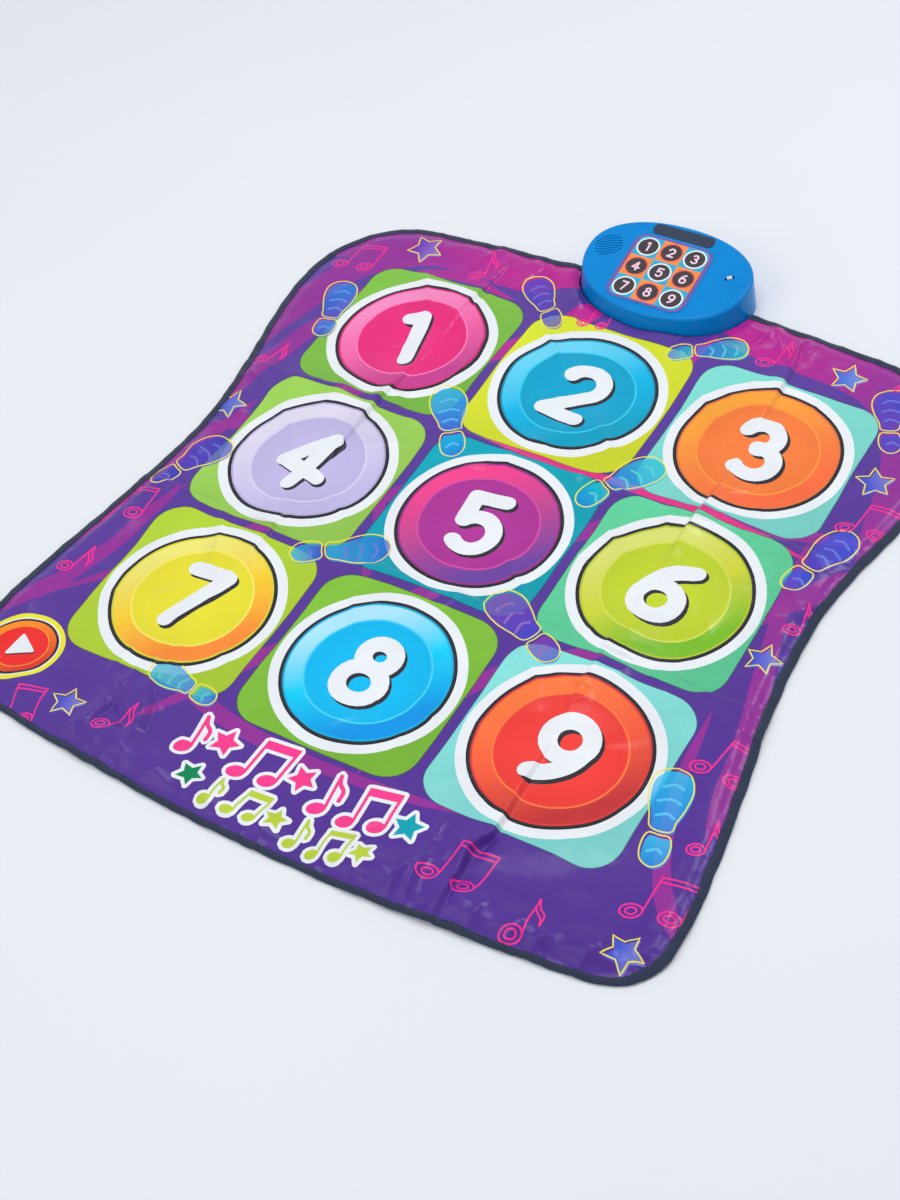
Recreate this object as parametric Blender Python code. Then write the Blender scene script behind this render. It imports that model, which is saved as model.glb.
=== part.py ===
"""Electronic dance mat: films sewn into an edge tape, ten foot pads and a control box.

Metres, +Z up. X runs across the mat, and Y from its front edge to the control box. The origin is
on the floor, in the middle of the space that the whole object takes.
"""

from math import atan2, copysign, cos, pi, radians, sin, sqrt, tan

import bmesh
import bpy
from mathutils import Matrix, Vector

MM = 0.001

# Gaps between the pieces
GAP = 0.3 * MM
SIDE_GAP = 0.5 * MM

# Foot pads, in three rows of three, and the start pad in the front left corner
PAD_ROWS = 3
PAD_PITCH = 230.0 * MM
PAD_RADIUS = 93.7 * MM
START_RADIUS = 40.0 * MM
START_FROM_SIDE = 71.0 * MM
START_FROM_FRONT = 96.0 * MM
PAD_RISE = 0.3 * MM
CONTACT_MARGIN = 30.0 * MM
START_CONTACT_MARGIN = 12.0 * MM
PAD_FACETS = 30
INNER_FACETS = 18
SMALL_FACETS = 12
TINY_FACETS = 8
SHARP_ANGLE = radians(32)

# Outline of the mat: a waist across the middle row, wider ends, crowned front and rear edges
WAIST_MARGIN = 66.3 * MM
WAIST_Y = 10.0 * MM
FRONT_FLARE = 42.0 * MM
REAR_FLARE = 37.0 * MM
FRONT_MARGIN = 141.3 * MM
FRONT_CROWN_RADIUS = 2842.0 * MM
REAR_CROWN_RADIUS = 3900.0 * MM
FRONT_CORNER_RADIUS = 65.0 * MM
REAR_CORNER_RADIUS = 135.0 * MM
CROWN_STEPS = 3
CORNER_STEPS = 5
SIDE_STEPS = 5

# Thickness of the mat's layers, from the floor up
BACKING = 0.5 * MM
FILM = 0.3 * MM
FOAM = 2.0 * MM
COVER = 0.5 * MM

# The sewn edge: a folded tape holds the rims of the cover and the backing
TAPE = 0.6 * MM
TAPE_WIDTH = 10.5 * MM
TAPE_ROUND = 0.9 * MM
RIM_INSET = 2.5 * MM
FLAT_RIM = 9.5 * MM
RIM_SLOPE = 11.0 * MM
RIM_SPREAD = 0.5 * MM
INNER_INSET = 26.0 * MM
EDGE_CLEARANCE = 1.5 * MM

# Control box: an oval, wider in front of its widest line than behind it
BOX_X = 15.0 * MM
BOX_MARGIN = 30.3 * MM
BOX_POWER = 2.2
BOX_FACETS = 44
MAT_UNDER_BOX = 82.0 * MM
FLOOR_GAP = 0.8 * MM
LID_HEIGHT = 44.5 * MM
LID_TILT = radians(9.1)
WALL = 2.4 * MM
DRAFT = 3.5 * MM
EDGE_ROUND = 4.0 * MM
EDGE_STEPS = 3
INNER_CHAMFER = 2.5 * MM
FLAP = 22.0 * MM

# On the lid, measured in its own tilted plane from the box's widest line
PANEL_X = -4.0 * MM
PANEL_Y = -14.0 * MM
PANEL_SIDE = 105.0 * MM
PANEL_RADIUS = 16.3 * MM
PANEL = 0.7 * MM
PANEL_TO_FRONT = 15.5 * MM
PANEL_TO_GRILLE = 9.0 * MM
PANEL_TO_BADGE = 2.75 * MM
GRILLE_TO_SIDE = 11.0 * MM
BADGE_TO_REAR = 10.25 * MM
CELL_MARGIN_X = 5.25 * MM
CELL_MARGIN_Y = 3.0 * MM
WINDOW_RADIUS = 10.0 * MM
BADGE_X = -2.0 * MM
BADGE_LENGTH = 81.0 * MM
BADGE_WIDTH = 16.5 * MM
BADGE_RADIUS = 7.0 * MM
GRILLE_Y = 6.0 * MM
GRILLE_RADIUS = 17.5 * MM
GRILLE_TURN = radians(17)
SLOT_COUNT = 8
SLOT_PITCH = 4.1 * MM
SLOT_WIDTH = 1.5 * MM
SLOT_WAVE = 0.9 * MM
SLOT_STEPS = 5
SWITCH_FROM_SIDE = 32.5 * MM
SWITCH_Y = 6.6 * MM
SWITCH_TURN = radians(40)
SWITCH_TRAVEL = 4.0 * MM
KNOB_LENGTH = 6.4 * MM
KNOB_WIDTH = 3.8 * MM
KNOB_RISE = 1.6 * MM
KNOB_GAP = 0.4 * MM
SWITCH_BODY = (13.0 * MM, 7.0 * MM, 6.0 * MM)

# Inside the box
BOARD = 1.6 * MM
BOARD_DROP = 12.0 * MM
BOARD_INSET = 2.5 * MM
BOARD_CORNER = 4.8 * MM
WELL_RADIUS = 12.5 * MM
LAMP_RADIUS = 2.5 * MM
LAMP_HEIGHT = 6.5 * MM
LAMP_FLANGE = 0.5 * MM
DOME_STEPS = 2
SPEAKER_RADIUS = 18.0 * MM
SPEAKER_DEPTH = 13.0 * MM
SPEAKER_RIM = 2.0 * MM
SPEAKER_FLANGE = 2.0 * MM
CONE_TOP = 1.0 * MM
CONE_DEPTH = 4.0 * MM
DOME_RADIUS = 4.0 * MM
BASKET_DEPTH = 7.0 * MM
MAGNET_RADIUS = 10.8 * MM
COLLAR = 2.0 * MM
COLLAR_HEIGHT = 4.0 * MM
TAIL_WIDTH = 26.0 * MM
TAIL_SPACING = 30.0 * MM
TAIL_LAP = 6.0 * MM
TAIL_CLEARANCE = 3.5 * MM
TAIL_RISE_RUN = 15.0 * MM
TAIL_TOP_RUN = 9.0 * MM
TAIL_STEPS = 8
NOTCH_MARGIN = 4.0 * MM
CLAMP = (62.0 * MM, 8.0 * MM, 3.0 * MM)

# Screws, their bosses and the feet
BOSS_RADIUS = 3.6 * MM
PILOT_RADIUS = 1.6 * MM
PILOT_DEPTH = 9.0 * MM
FRONT_BOSS_SHARE = (0.628, 0.659)
REAR_BOSS_SHARE = (0.574, 0.632)
SHANK_RADIUS = 1.3 * MM
SHANK_REACH = 7.0 * MM
HEAD_RADIUS = 2.8 * MM
HEAD = 1.0 * MM
HEAD_ROUND = 0.4 * MM
FOOT_RADIUS = 6.5 * MM
FOOT_SEAT = 0.8 * MM
FRONT_FOOT_SHARE = (0.359, 0.732)
REAR_FOOT_SHARE = (0.43, 0.72)

# Battery bay under the rear half of the box
BAY_FROM_REAR = 41.0 * MM
CELL_RADIUS = 7.25 * MM
CELL_LENGTH = 50.5 * MM
CELL_COUNT = 3
CELL_GAP = 0.7 * MM
CELL_SHIFT = 2.0 * MM
NUB_RADIUS = 2.75 * MM
NUB = 1.2 * MM
SPRING_ROOM = 5.75 * MM
BAY_WALL = 1.6 * MM
LEDGE = 1.2 * MM
DOOR = 2.0 * MM
TONGUE_WIDTH = 12.0 * MM
TONGUE_REACH = 9.0 * MM
TAB_WIDTH = 8.0 * MM
TAB_REACH = 3.0 * MM
TAB = 0.9 * MM
TAB_X = 18.0 * MM
TAB_SWING = 6.0 * MM
DOOR_BOSS_HEIGHT = 7.0 * MM
DOOR_BOSS_RADIUS = 5.6 * MM
DOOR_PILOT_LEFT = 1.0 * MM
STRIP = 0.5 * MM
STRIP_HEIGHT = 11.0 * MM
SPRING_RADIUS = 4.2 * MM

# Heights of the layers, worked out from their thickness
LOWER_Z = BACKING + GAP
CONTACT_Z = LOWER_Z + FILM + GAP
FOAM_Z = LOWER_Z + FILM + GAP
UPPER_Z = FOAM_Z + FOAM + GAP
COVER_Z = UPPER_Z + FILM + GAP
MAT_TOP = COVER_Z + COVER
PAD_TRAVEL = UPPER_Z - GAP - (CONTACT_Z + FILM)
BACKING_RIM_Z = TAPE + GAP
COVER_RIM_Z = BACKING_RIM_Z + BACKING + RIM_SPREAD
TAPE_HEIGHT = COVER_RIM_Z + COVER + GAP + TAPE
BASE_TOP = UPPER_Z - GAP

# The box is as wide and as deep as what its lid holds
BOX_HALF_WIDTH = PANEL_SIDE / 2 - PANEL_X + PANEL_TO_GRILLE + 2 * GRILLE_RADIUS + GRILLE_TO_SIDE
BOX_FRONT_REACH = PANEL_SIDE / 2 - PANEL_Y + PANEL_TO_FRONT
BOX_REAR_REACH = PANEL_SIDE / 2 + PANEL_Y + PANEL_TO_BADGE + BADGE_WIDTH + BADGE_TO_REAR
BADGE_Y = PANEL_SIDE / 2 + PANEL_Y + PANEL_TO_BADGE + BADGE_WIDTH / 2
WINDOW_PITCH_X = (PANEL_SIDE - 2 * CELL_MARGIN_X) / PAD_ROWS
WINDOW_PITCH_Y = (PANEL_SIDE - 2 * CELL_MARGIN_Y) / PAD_ROWS
BOARD_SIZE = PANEL_SIDE - 2 * BOARD_INSET

# Places along Y, measured from the middle pad and then moved so that the whole is centred
FRONT_EDGE = -(PAD_PITCH + PAD_RADIUS + FRONT_MARGIN)
BOX_FRONT = PAD_PITCH + PAD_RADIUS + BOX_MARGIN
MIDDLE_Y = -(FRONT_EDGE + BOX_FRONT + BOX_FRONT_REACH + BOX_REAR_REACH) / 2
FRONT_EDGE_Y = MIDDLE_Y + FRONT_EDGE
REAR_EDGE_Y = MIDDLE_Y + BOX_FRONT + MAT_UNDER_BOX
BOX_Y = MIDDLE_Y + BOX_FRONT + BOX_FRONT_REACH

# How far the rear edge's crown has dropped at the box's right side
REAR_CROWN_DROP = (BOX_X + BOX_HALF_WIDTH) ** 2 / (2 * REAR_CROWN_RADIUS)

# Half widths of the mat
WAIST_HALF = PAD_PITCH + PAD_RADIUS + WAIST_MARGIN
FRONT_HALF = WAIST_HALF + FRONT_FLARE
REAR_HALF = WAIST_HALF + REAR_FLARE

# Places on the box that follow its width and its reaches
GRILLE_X = GRILLE_TO_SIDE + GRILLE_RADIUS - BOX_HALF_WIDTH
SWITCH_X = BOX_HALF_WIDTH - SWITCH_FROM_SIDE
FRONT_BOSS = (FRONT_BOSS_SHARE[0] * BOX_HALF_WIDTH, -FRONT_BOSS_SHARE[1] * BOX_FRONT_REACH)
REAR_BOSS = (REAR_BOSS_SHARE[0] * BOX_HALF_WIDTH, REAR_BOSS_SHARE[1] * BOX_REAR_REACH)
FRONT_FOOT = (FRONT_FOOT_SHARE[0] * BOX_HALF_WIDTH, -FRONT_FOOT_SHARE[1] * BOX_FRONT_REACH)
REAR_FOOT = (REAR_FOOT_SHARE[0] * BOX_HALF_WIDTH, REAR_FOOT_SHARE[1] * BOX_REAR_REACH)
BAY_Y = BOX_REAR_REACH - BAY_FROM_REAR

# The battery bay's inner size
CELL_PITCH = 2 * CELL_RADIUS + CELL_GAP
BAY_LENGTH = CELL_LENGTH + 2 * SPRING_ROOM
BAY_WIDTH = CELL_COUNT * CELL_PITCH + 2 * SIDE_GAP
DOOR_TOP = FLOOR_GAP + DOOR
BAY_TOP = DOOR_TOP + GAP + 2 * CELL_RADIUS + GAP
DOOR_FRONT_Y = BOX_Y + BAY_Y - BAY_WIDTH / 2 - LEDGE

FINISHES = {
    "printed_film": ((0.33, 0.18, 0.58), 0.35, 0.0),
    "pad_film": ((0.85, 0.30, 0.55), 0.35, 0.0),
    "start_film": ((0.90, 0.12, 0.12), 0.35, 0.0),
    "contact_film": ((0.75, 0.75, 0.72), 0.4, 0.0),
    "carbon_print": ((0.05, 0.05, 0.05), 0.7, 0.0),
    "foam": ((0.85, 0.85, 0.85), 0.9, 0.0),
    "backing": ((0.10, 0.10, 0.11), 0.85, 0.0),
    "tape": ((0.08, 0.10, 0.18), 0.8, 0.0),
    "blue_plastic": ((0.0, 0.32, 0.72), 0.35, 0.0),
    "speaker_metal": ((0.06, 0.06, 0.06), 0.5, 0.0),
    "panel_film": ((0.75, 0.35, 0.35), 0.4, 0.0),
    "badge_film": ((0.12, 0.13, 0.15), 0.4, 0.0),
    "grey_plastic": ((0.75, 0.77, 0.80), 0.4, 0.0),
    "black_plastic": ((0.03, 0.03, 0.03), 0.5, 0.0),
    "white_plastic": ((0.85, 0.85, 0.85), 0.5, 0.0),
    "circuit_board": ((0.05, 0.25, 0.10), 0.5, 0.0),
    "lamp": ((0.90, 0.75, 0.75), 0.15, 0.0),
    "steel": ((0.60, 0.60, 0.60), 0.3, 1.0),
    "rubber": ((0.04, 0.04, 0.04), 0.9, 0.0),
    "cell_sleeve": ((0.20, 0.20, 0.22), 0.35, 0.5),
}


def clear_scene():
    """Removes what the scene already holds."""
    for old in list(bpy.data.objects):
        bpy.data.objects.remove(old, do_unlink=True)


def finish_material(name):
    """The Principled material of one finish, made once."""
    material = bpy.data.materials.get(name)
    if material is None:
        colour, roughness, metallic = FINISHES[name]
        material = bpy.data.materials.new(name)
        material.use_nodes = True
        shader = material.node_tree.nodes["Principled BSDF"]
        shader.inputs["Base Color"].default_value = (*colour, 1.0)
        shader.inputs["Roughness"].default_value = roughness
        shader.inputs["Metallic"].default_value = metallic
    return material


def add_object(name, bm, parent=None):
    """An object with the bmesh's faces, turned outwards."""
    bmesh.ops.recalc_face_normals(bm, faces=bm.faces)
    mesh = bpy.data.meshes.new(name)
    bm.to_mesh(mesh)
    bm.free()
    made = bpy.data.objects.new(name, mesh)
    made.parent = parent
    bpy.context.scene.collection.objects.link(made)
    return made


def add_piece(name, bm, finish, parent=None, place=(0, 0, 0), turn=0.0):
    """One piece of the product, with its finish and its place."""
    piece = add_object(name, bm, parent)
    piece.data.materials.append(finish_material(finish))
    piece.location = place
    piece.rotation_euler.z = turn
    piece.data.shade_smooth()
    piece.data.set_sharp_from_angle(angle=SHARP_ANGLE)
    return piece


def change(piece, name, bm, operation, parent=None, place=(0, 0, 0), turn=0.0):
    """Cuts a tool out of a piece, or joins it to the piece, with a Boolean."""
    tool = add_object(f"{piece.name}_{name}", bm, parent)
    tool.location = place
    tool.rotation_euler.z = turn
    tool.hide_render = True
    tool.display_type = "WIRE"
    boolean = piece.modifiers.new(name, "BOOLEAN")
    boolean.operation = operation
    boolean.solver = "EXACT"
    boolean.object = tool


def cut(piece, name, bm, **where):
    """Takes a tool's volume away from a piece."""
    change(piece, name, bm, "DIFFERENCE", **where)


def join(piece, name, bm, **where):
    """Adds a tool's volume to a piece."""
    change(piece, name, bm, "UNION", **where)


def loft(loops, bm=None):
    """A closed solid: a face on the first loop of points, extruded from each loop to the next."""
    bm = bm or bmesh.new()
    face = bm.faces.new([bm.verts.new(point) for point in loops[0]])
    for step, loop in enumerate(loops[1:]):
        grown = bmesh.ops.extrude_face_region(bm, geom=[face])["geom"]
        if step > 0:
            bmesh.ops.delete(bm, geom=[face], context="FACES_ONLY")
        face = next(item for item in grown if isinstance(item, bmesh.types.BMFace))
        for vert, point in zip(face.verts, loop):
            vert.co = point
    return bm


def at_height(outline, z):
    """An outline's points at one height."""
    return [Vector((x, y, z)) for x, y in outline]


def prism(outline, low, high, bm=None):
    """A solid with straight sides over an outline."""
    return loft([at_height(outline, low), at_height(outline, high)], bm)


def block(size_x, size_y, low, high, centre=(0, 0), bm=None):
    """A rectangular block."""
    x, y = centre
    half_x, half_y = size_x / 2, size_y / 2
    corners = [(x - half_x, y - half_y), (x + half_x, y - half_y),
               (x + half_x, y + half_y), (x - half_x, y + half_y)]
    return prism(corners, low, high, bm)


def circle(radius, facets, centre=(0, 0)):
    """Points round a circle."""
    steps = [2 * pi * k / facets for k in range(facets)]
    return [(centre[0] + radius * cos(a), centre[1] + radius * sin(a)) for a in steps]


def disc(radius, facets, low, high, centre=(0, 0), bm=None):
    """A flat round solid."""
    return prism(circle(radius, facets, centre), low, high, bm)


def rounded_rectangle(length, width, radius, steps=5, centre=(0, 0)):
    """Points round a rectangle with rounded corners."""
    points = []
    for k, (way_x, way_y) in enumerate([(1, 1), (-1, 1), (-1, -1), (1, -1)]):
        corner = (centre[0] + way_x * (length / 2 - radius), centre[1] + way_y * (width / 2 - radius))
        points += arc(corner, radius, k * pi / 2, (k + 1) * pi / 2, steps)
    return points


def turned(profile, facets, bm=None):
    """A solid of revolution from (radius, height) points that start and end on its axis."""
    bm = bm or bmesh.new()
    verts = [bm.verts.new((radius, 0, height)) for radius, height in profile]
    edges = [bm.edges.new(pair) for pair in zip(verts, verts[1:])]
    bmesh.ops.spin(bm, geom=verts + edges, cent=(0, 0, 0), axis=(0, 0, 1), angle=2 * pi,
                   steps=facets, use_merge=True)
    bmesh.ops.remove_doubles(bm, verts=bm.verts, dist=0.01 * MM)
    return bm


def spaced(start, stop, steps):
    """Evenly spaced values, both ends included."""
    return [start + (stop - start) * k / steps for k in range(steps + 1)]


def arc(centre, radius, start, stop, steps):
    """Points along an arc, both ends included."""
    angles = spaced(start, stop, steps)
    return [(centre[0] + radius * cos(a), centre[1] + radius * sin(a)) for a in angles]


def corner_of(half_width, radius, crown, edge_y, way):
    """The fillet between a side and a crowned end: its centre, where it ends, the crown's centre."""
    crown_y = edge_y - way * crown
    across = half_width - radius
    along = sqrt((crown - radius) ** 2 - across ** 2)
    return (across, crown_y + way * along), atan2(way * along, across), (0, crown_y)


def side_curve(end, waist, inset, steps):
    """The side from a corner to the waist, straight along Y at both ends."""
    points = []
    for share in spaced(0, 1, steps):
        sweep = (1 + cos(pi * share)) / 2
        x = waist[0] + (end[0] - waist[0]) * sweep - inset
        points.append((x, end[1] + (waist[1] - end[1]) * share))
    return points


def mat_outline(inset):
    """Points round the mat, at a distance inside its edge."""
    front, front_end, front_crown = corner_of(FRONT_HALF, FRONT_CORNER_RADIUS, FRONT_CROWN_RADIUS,
                                              FRONT_EDGE_Y, -1)
    rear, rear_end, rear_crown = corner_of(REAR_HALF, REAR_CORNER_RADIUS, REAR_CROWN_RADIUS,
                                           REAR_EDGE_Y, 1)
    waist = (WAIST_HALF, MIDDLE_Y + WAIST_Y)
    right = arc(front_crown, FRONT_CROWN_RADIUS - inset, -pi / 2, front_end, CROWN_STEPS)
    right += arc(front, FRONT_CORNER_RADIUS - inset, front_end, 0, CORNER_STEPS)[1:]
    right += side_curve((FRONT_HALF, front[1]), waist, inset, SIDE_STEPS)[1:]
    right += side_curve((REAR_HALF, rear[1]), waist, inset, SIDE_STEPS)[-2::-1]
    right += arc(rear, REAR_CORNER_RADIUS - inset, 0, rear_end, CORNER_STEPS)[1:]
    right += arc(rear_crown, REAR_CROWN_RADIUS - inset, rear_end, pi / 2, CROWN_STEPS)[1:]
    left = [(-x, y) for x, y in right[-2:0:-1]]
    return right + left


def box_outline(inset):
    """Points round the control box, at a distance inside its foot."""
    points = []
    for k in range(BOX_FACETS):
        a = 2 * pi * k / BOX_FACETS
        reach = BOX_REAR_REACH if sin(a) > 0 else BOX_FRONT_REACH
        x = copysign(abs(cos(a)) ** (2 / BOX_POWER), cos(a)) * (BOX_HALF_WIDTH - inset)
        y = copysign(abs(sin(a)) ** (2 / BOX_POWER), sin(a)) * (reach - inset)
        points.append((BOX_X + x, BOX_Y + y))
    return points


def lid_z(y):
    """Height of the lid's tilted top face."""
    return LID_HEIGHT + (y - BOX_Y) * tan(LID_TILT)


def under_lid(inset, drop):
    """The box's outline at a drop below the lid's top face."""
    return [Vector((x, y, lid_z(y) - drop)) for x, y in box_outline(inset)]


def pad_places():
    """Each foot pad's number, centre and radius, from the left of the rear row."""
    places = []
    for row in range(PAD_ROWS):
        for column in range(PAD_ROWS):
            x = (column - 1) * PAD_PITCH
            y = MIDDLE_Y + (1 - row) * PAD_PITCH
            places.append((str(row * PAD_ROWS + column + 1), (x, y), PAD_RADIUS))
    start = (START_FROM_SIDE - FRONT_HALF, FRONT_EDGE_Y + START_FROM_FRONT)
    places.append(("start", start, START_RADIUS))
    return places


def pad_holes(low, high, facets):
    """Ten discs, a side gap clear of the pads at the middle of each facet."""
    bm = bmesh.new()
    for _, centre, radius in pad_places():
        disc((radius + SIDE_GAP) / cos(pi / facets), facets, low, high, centre, bm)
    return bm


def lid_cells():
    """Centres of the number panel's nine windows, in the lid's plane."""
    return [(PANEL_X + (column - 1) * WINDOW_PITCH_X, PANEL_Y + (row - 1) * WINDOW_PITCH_Y)
            for row in range(PAD_ROWS) for column in range(PAD_ROWS)]


def both_sides(place):
    """A place and its mirror image across the box's middle."""
    return [(BOX_X + way * place[0], BOX_Y + place[1]) for way in (-1, 1)]


def case_bosses():
    """Centres of the four bosses that the case screws go into."""
    return both_sides(FRONT_BOSS) + both_sides(REAR_BOSS)


def cover_film():
    """The printed top film: flat over the pads, stepping down to a thin rim in the edge tape."""
    low = COVER_RIM_Z
    rim, slope, flat = RIM_INSET, RIM_INSET + FLAT_RIM, RIM_INSET + FLAT_RIM + RIM_SLOPE
    loops = [at_height(mat_outline(flat), COVER_Z), at_height(mat_outline(slope), low),
             at_height(mat_outline(rim), low), at_height(mat_outline(rim), low + COVER),
             at_height(mat_outline(slope), low + COVER), at_height(mat_outline(flat), MAT_TOP)]
    cover = add_piece("cover_film", loft(loops), "printed_film")
    cut(cover, "pad_holes", pad_holes(0, 2 * MAT_TOP, PAD_FACETS))
    cut(cover, "box_window", prism(box_outline(WALL + FLAP), 0, 2 * MAT_TOP))
    behind = prism(box_outline(WALL), 0, 2 * MAT_TOP)
    rear = (0, REAR_EDGE_Y - flat - REAR_CROWN_DROP, 0)
    geometry = behind.verts[:] + behind.edges[:] + behind.faces[:]
    bmesh.ops.bisect_plane(behind, geom=geometry, plane_co=rear, plane_no=(0, 1, 0), clear_inner=True)
    bmesh.ops.holes_fill(behind, edges=behind.edges)
    cut(cover, "rim_window", behind)
    bosses = bmesh.new()
    for centre in both_sides(FRONT_BOSS):
        disc(BOSS_RADIUS + SIDE_GAP, SMALL_FACETS, 0, 2 * MAT_TOP, centre, bosses)
    cut(cover, "boss_holes", bosses)


def backing_sheet():
    """The non-slip sheet on the floor, lifted at its rim into the edge tape."""
    slope, flat = RIM_INSET + FLAT_RIM, RIM_INSET + FLAT_RIM + RIM_SLOPE
    low = BACKING_RIM_Z
    loops = [at_height(mat_outline(flat), 0), at_height(mat_outline(slope), low),
             at_height(mat_outline(RIM_INSET), low), at_height(mat_outline(RIM_INSET), low + BACKING),
             at_height(mat_outline(slope), low + BACKING), at_height(mat_outline(flat), BACKING)]
    backing = add_piece("backing_sheet", loft(loops), "backing")
    cut(backing, "base_window", base_window())


def base_window():
    """The opening round the box's base that the lower layers keep."""
    return prism(box_outline(WALL + GAP - SIDE_GAP), -MAT_TOP, 2 * MAT_TOP)


def inner_sheet(name, low, thickness, finish, holes):
    """A flat layer between the cover and the backing, open round the box's base."""
    sheet = add_piece(name, prism(mat_outline(INNER_INSET), low, low + thickness), finish)
    if holes:
        cut(sheet, "pad_holes", pad_holes(low - GAP, low + thickness + GAP, INNER_FACETS))
    cut(sheet, "base_window", base_window())
    return sheet


def tail_notch(low, high):
    """Room for the lower film's tail to climb to the level of the upper one."""
    front = BOX_Y - BOX_FRONT_REACH - TAIL_LAP - NOTCH_MARGIN
    rear = BOX_Y - BOX_FRONT_REACH + 2 * WALL
    centre = (BOX_X - TAIL_SPACING / 2, (front + rear) / 2)
    return block(TAIL_WIDTH + 2 * SIDE_GAP, rear - front, low, high, centre)


def tail_stations():
    """Where the tails bend up behind the cover's flap, reach the circuit board, and end."""
    bend = BOX_Y - BOX_FRONT_REACH + WALL + FLAP + TAIL_CLEARANCE
    top = bend + TAIL_RISE_RUN
    return bend, top, top + TAIL_TOP_RUN


def tail_path(start_z, start_y, climb_y):
    """A tail's underside from its film, over the base's edge and up to the circuit board."""
    board_drop = (BOARD_DROP + BOARD) / cos(LID_TILT) + GAP + FILM
    bend, top, end = tail_stations()
    path = [(start_y, start_z)]
    if start_z < UPPER_Z:
        path.append((climb_y - FOAM, start_z))
    path += [(climb_y, UPPER_Z), (bend, UPPER_Z)]
    top_z = lid_z(top) - board_drop
    for share in spaced(0, 1, TAIL_STEPS)[1:]:
        rise = share * share * (3 - 2 * share)
        path.append((bend + (top - bend) * share, UPPER_Z + (top_z - UPPER_Z) * rise))
    path.append((end, lid_z(end) - board_drop))
    return [Vector(point) for point in path]


def ribbon(centre_x, width, path, thickness):
    """A flat strip that follows a path of (y, z) points along its underside."""
    loops = []
    for k, point in enumerate(path):
        ahead = path[min(k + 1, len(path) - 1)] - path[max(k - 1, 0)]
        up = Vector((-ahead.y, ahead.x)).normalized() * thickness
        left, right = centre_x - width / 2, centre_x + width / 2
        loops.append([Vector((left, point.x, point.y)), Vector((right, point.x, point.y)),
                      Vector((right, point.x + up.x, point.y + up.y)),
                      Vector((left, point.x + up.x, point.y + up.y))])
    return loft(loops)


def contact_films():
    """The two switch films, each with a tail that runs into the box, and the foam between them."""
    front = BOX_Y - BOX_FRONT_REACH + WALL
    upper = inner_sheet("upper_contact_film", UPPER_Z, FILM, "contact_film", True)
    cut(upper, "tail_notch", tail_notch(UPPER_Z - GAP, UPPER_Z + FILM + GAP))
    path = tail_path(UPPER_Z, front - TAIL_LAP, front - GAP)
    join(upper, "tail", ribbon(BOX_X + TAIL_SPACING / 2, TAIL_WIDTH, path, FILM))
    lower = inner_sheet("lower_contact_film", LOWER_Z, FILM, "contact_film", False)
    path = tail_path(LOWER_Z, front - TAIL_LAP - FOAM, front - FOAM / 2)
    join(lower, "tail", ribbon(BOX_X - TAIL_SPACING / 2, TAIL_WIDTH, path, FILM))
    foam = inner_sheet("foam_spacer", FOAM_Z, FOAM, "foam", True)
    cut(foam, "tail_notch", tail_notch(FOAM_Z - GAP, FOAM_Z + FOAM + GAP))


def pads_and_contacts():
    """The ten moving discs of film, each with its origin on the axis that it sinks along."""
    for number, (x, y), radius in pad_places():
        film = disc(radius, PAD_FACETS, UPPER_Z, MAT_TOP + PAD_RISE)
        finish = "start_film" if number == "start" else "pad_film"
        add_piece(f"pad_{number}", film, finish, place=(x, y, 0))
        margin = START_CONTACT_MARGIN if number == "start" else CONTACT_MARGIN
        print_disc = disc(radius - margin, INNER_FACETS, CONTACT_Z, CONTACT_Z + FILM)
        add_piece(f"contact_{number}", print_disc, "carbon_print", place=(x, y, 0))


def edge_binding():
    """The tape folded round the mat's edge, from one side of the box to the other."""
    profile = [(0, TAPE_ROUND), (0, TAPE_HEIGHT - TAPE_ROUND), (TAPE_ROUND, TAPE_HEIGHT),
               (TAPE_WIDTH, TAPE_HEIGHT), (TAPE_WIDTH, TAPE_HEIGHT - TAPE), (TAPE, TAPE_HEIGHT - TAPE),
               (TAPE, TAPE), (TAPE_WIDTH, TAPE), (TAPE_WIDTH, 0), (TAPE_ROUND, 0)]
    rings = [at_height(mat_outline(inset), z) for inset, z in profile]
    stations = [list(points) for points in zip(*rings)]
    bm = bmesh.new()
    verts = [[bm.verts.new(point) for point in station] for station in stations]
    edges = [[bm.edges.new((ring[k], ring[k - 1])) for k in range(len(ring))] for ring in verts]
    for k, ring in enumerate(edges):
        bmesh.ops.bridge_loops(bm, edges=ring + edges[k - 1])
    binding = add_piece("edge_binding", bm, "tape")
    cut(binding, "box_window", prism(box_outline(WALL), -MAT_TOP, 2 * MAT_TOP))


def grille_slot(offset):
    """One wavy slot of the loudspeaker grille, as long as its chord of the round grille."""
    half = sqrt(GRILLE_RADIUS ** 2 - offset ** 2)
    middle = []
    for x in spaced(-half, half, SLOT_STEPS):
        middle.append((x, offset + SLOT_WAVE * sin(pi * x / GRILLE_RADIUS)))
    ahead = [(x, y - SLOT_WIDTH / 2) for x, y in middle]
    back = [(x, y + SLOT_WIDTH / 2) for x, y in reversed(middle)]
    return ahead + back


def grille_slots():
    """All the slots of the grille, through the lid."""
    bm = bmesh.new()
    for k in range(SLOT_COUNT):
        offset = (k - (SLOT_COUNT - 1) / 2) * SLOT_PITCH
        prism(grille_slot(offset), -2 * WALL, WALL, bm)
    return bm


def badge_outline(grow):
    """The blank badge, a rounded bar."""
    return rounded_rectangle(BADGE_LENGTH + 2 * grow, BADGE_WIDTH + 2 * grow, BADGE_RADIUS + grow,
                             centre=(BADGE_X, BADGE_Y))


def panel_outline(grow):
    """The number panel, a rounded square."""
    side = PANEL_SIDE + 2 * grow
    return rounded_rectangle(side, side, PANEL_RADIUS + grow, centre=(PANEL_X, PANEL_Y))


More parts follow.
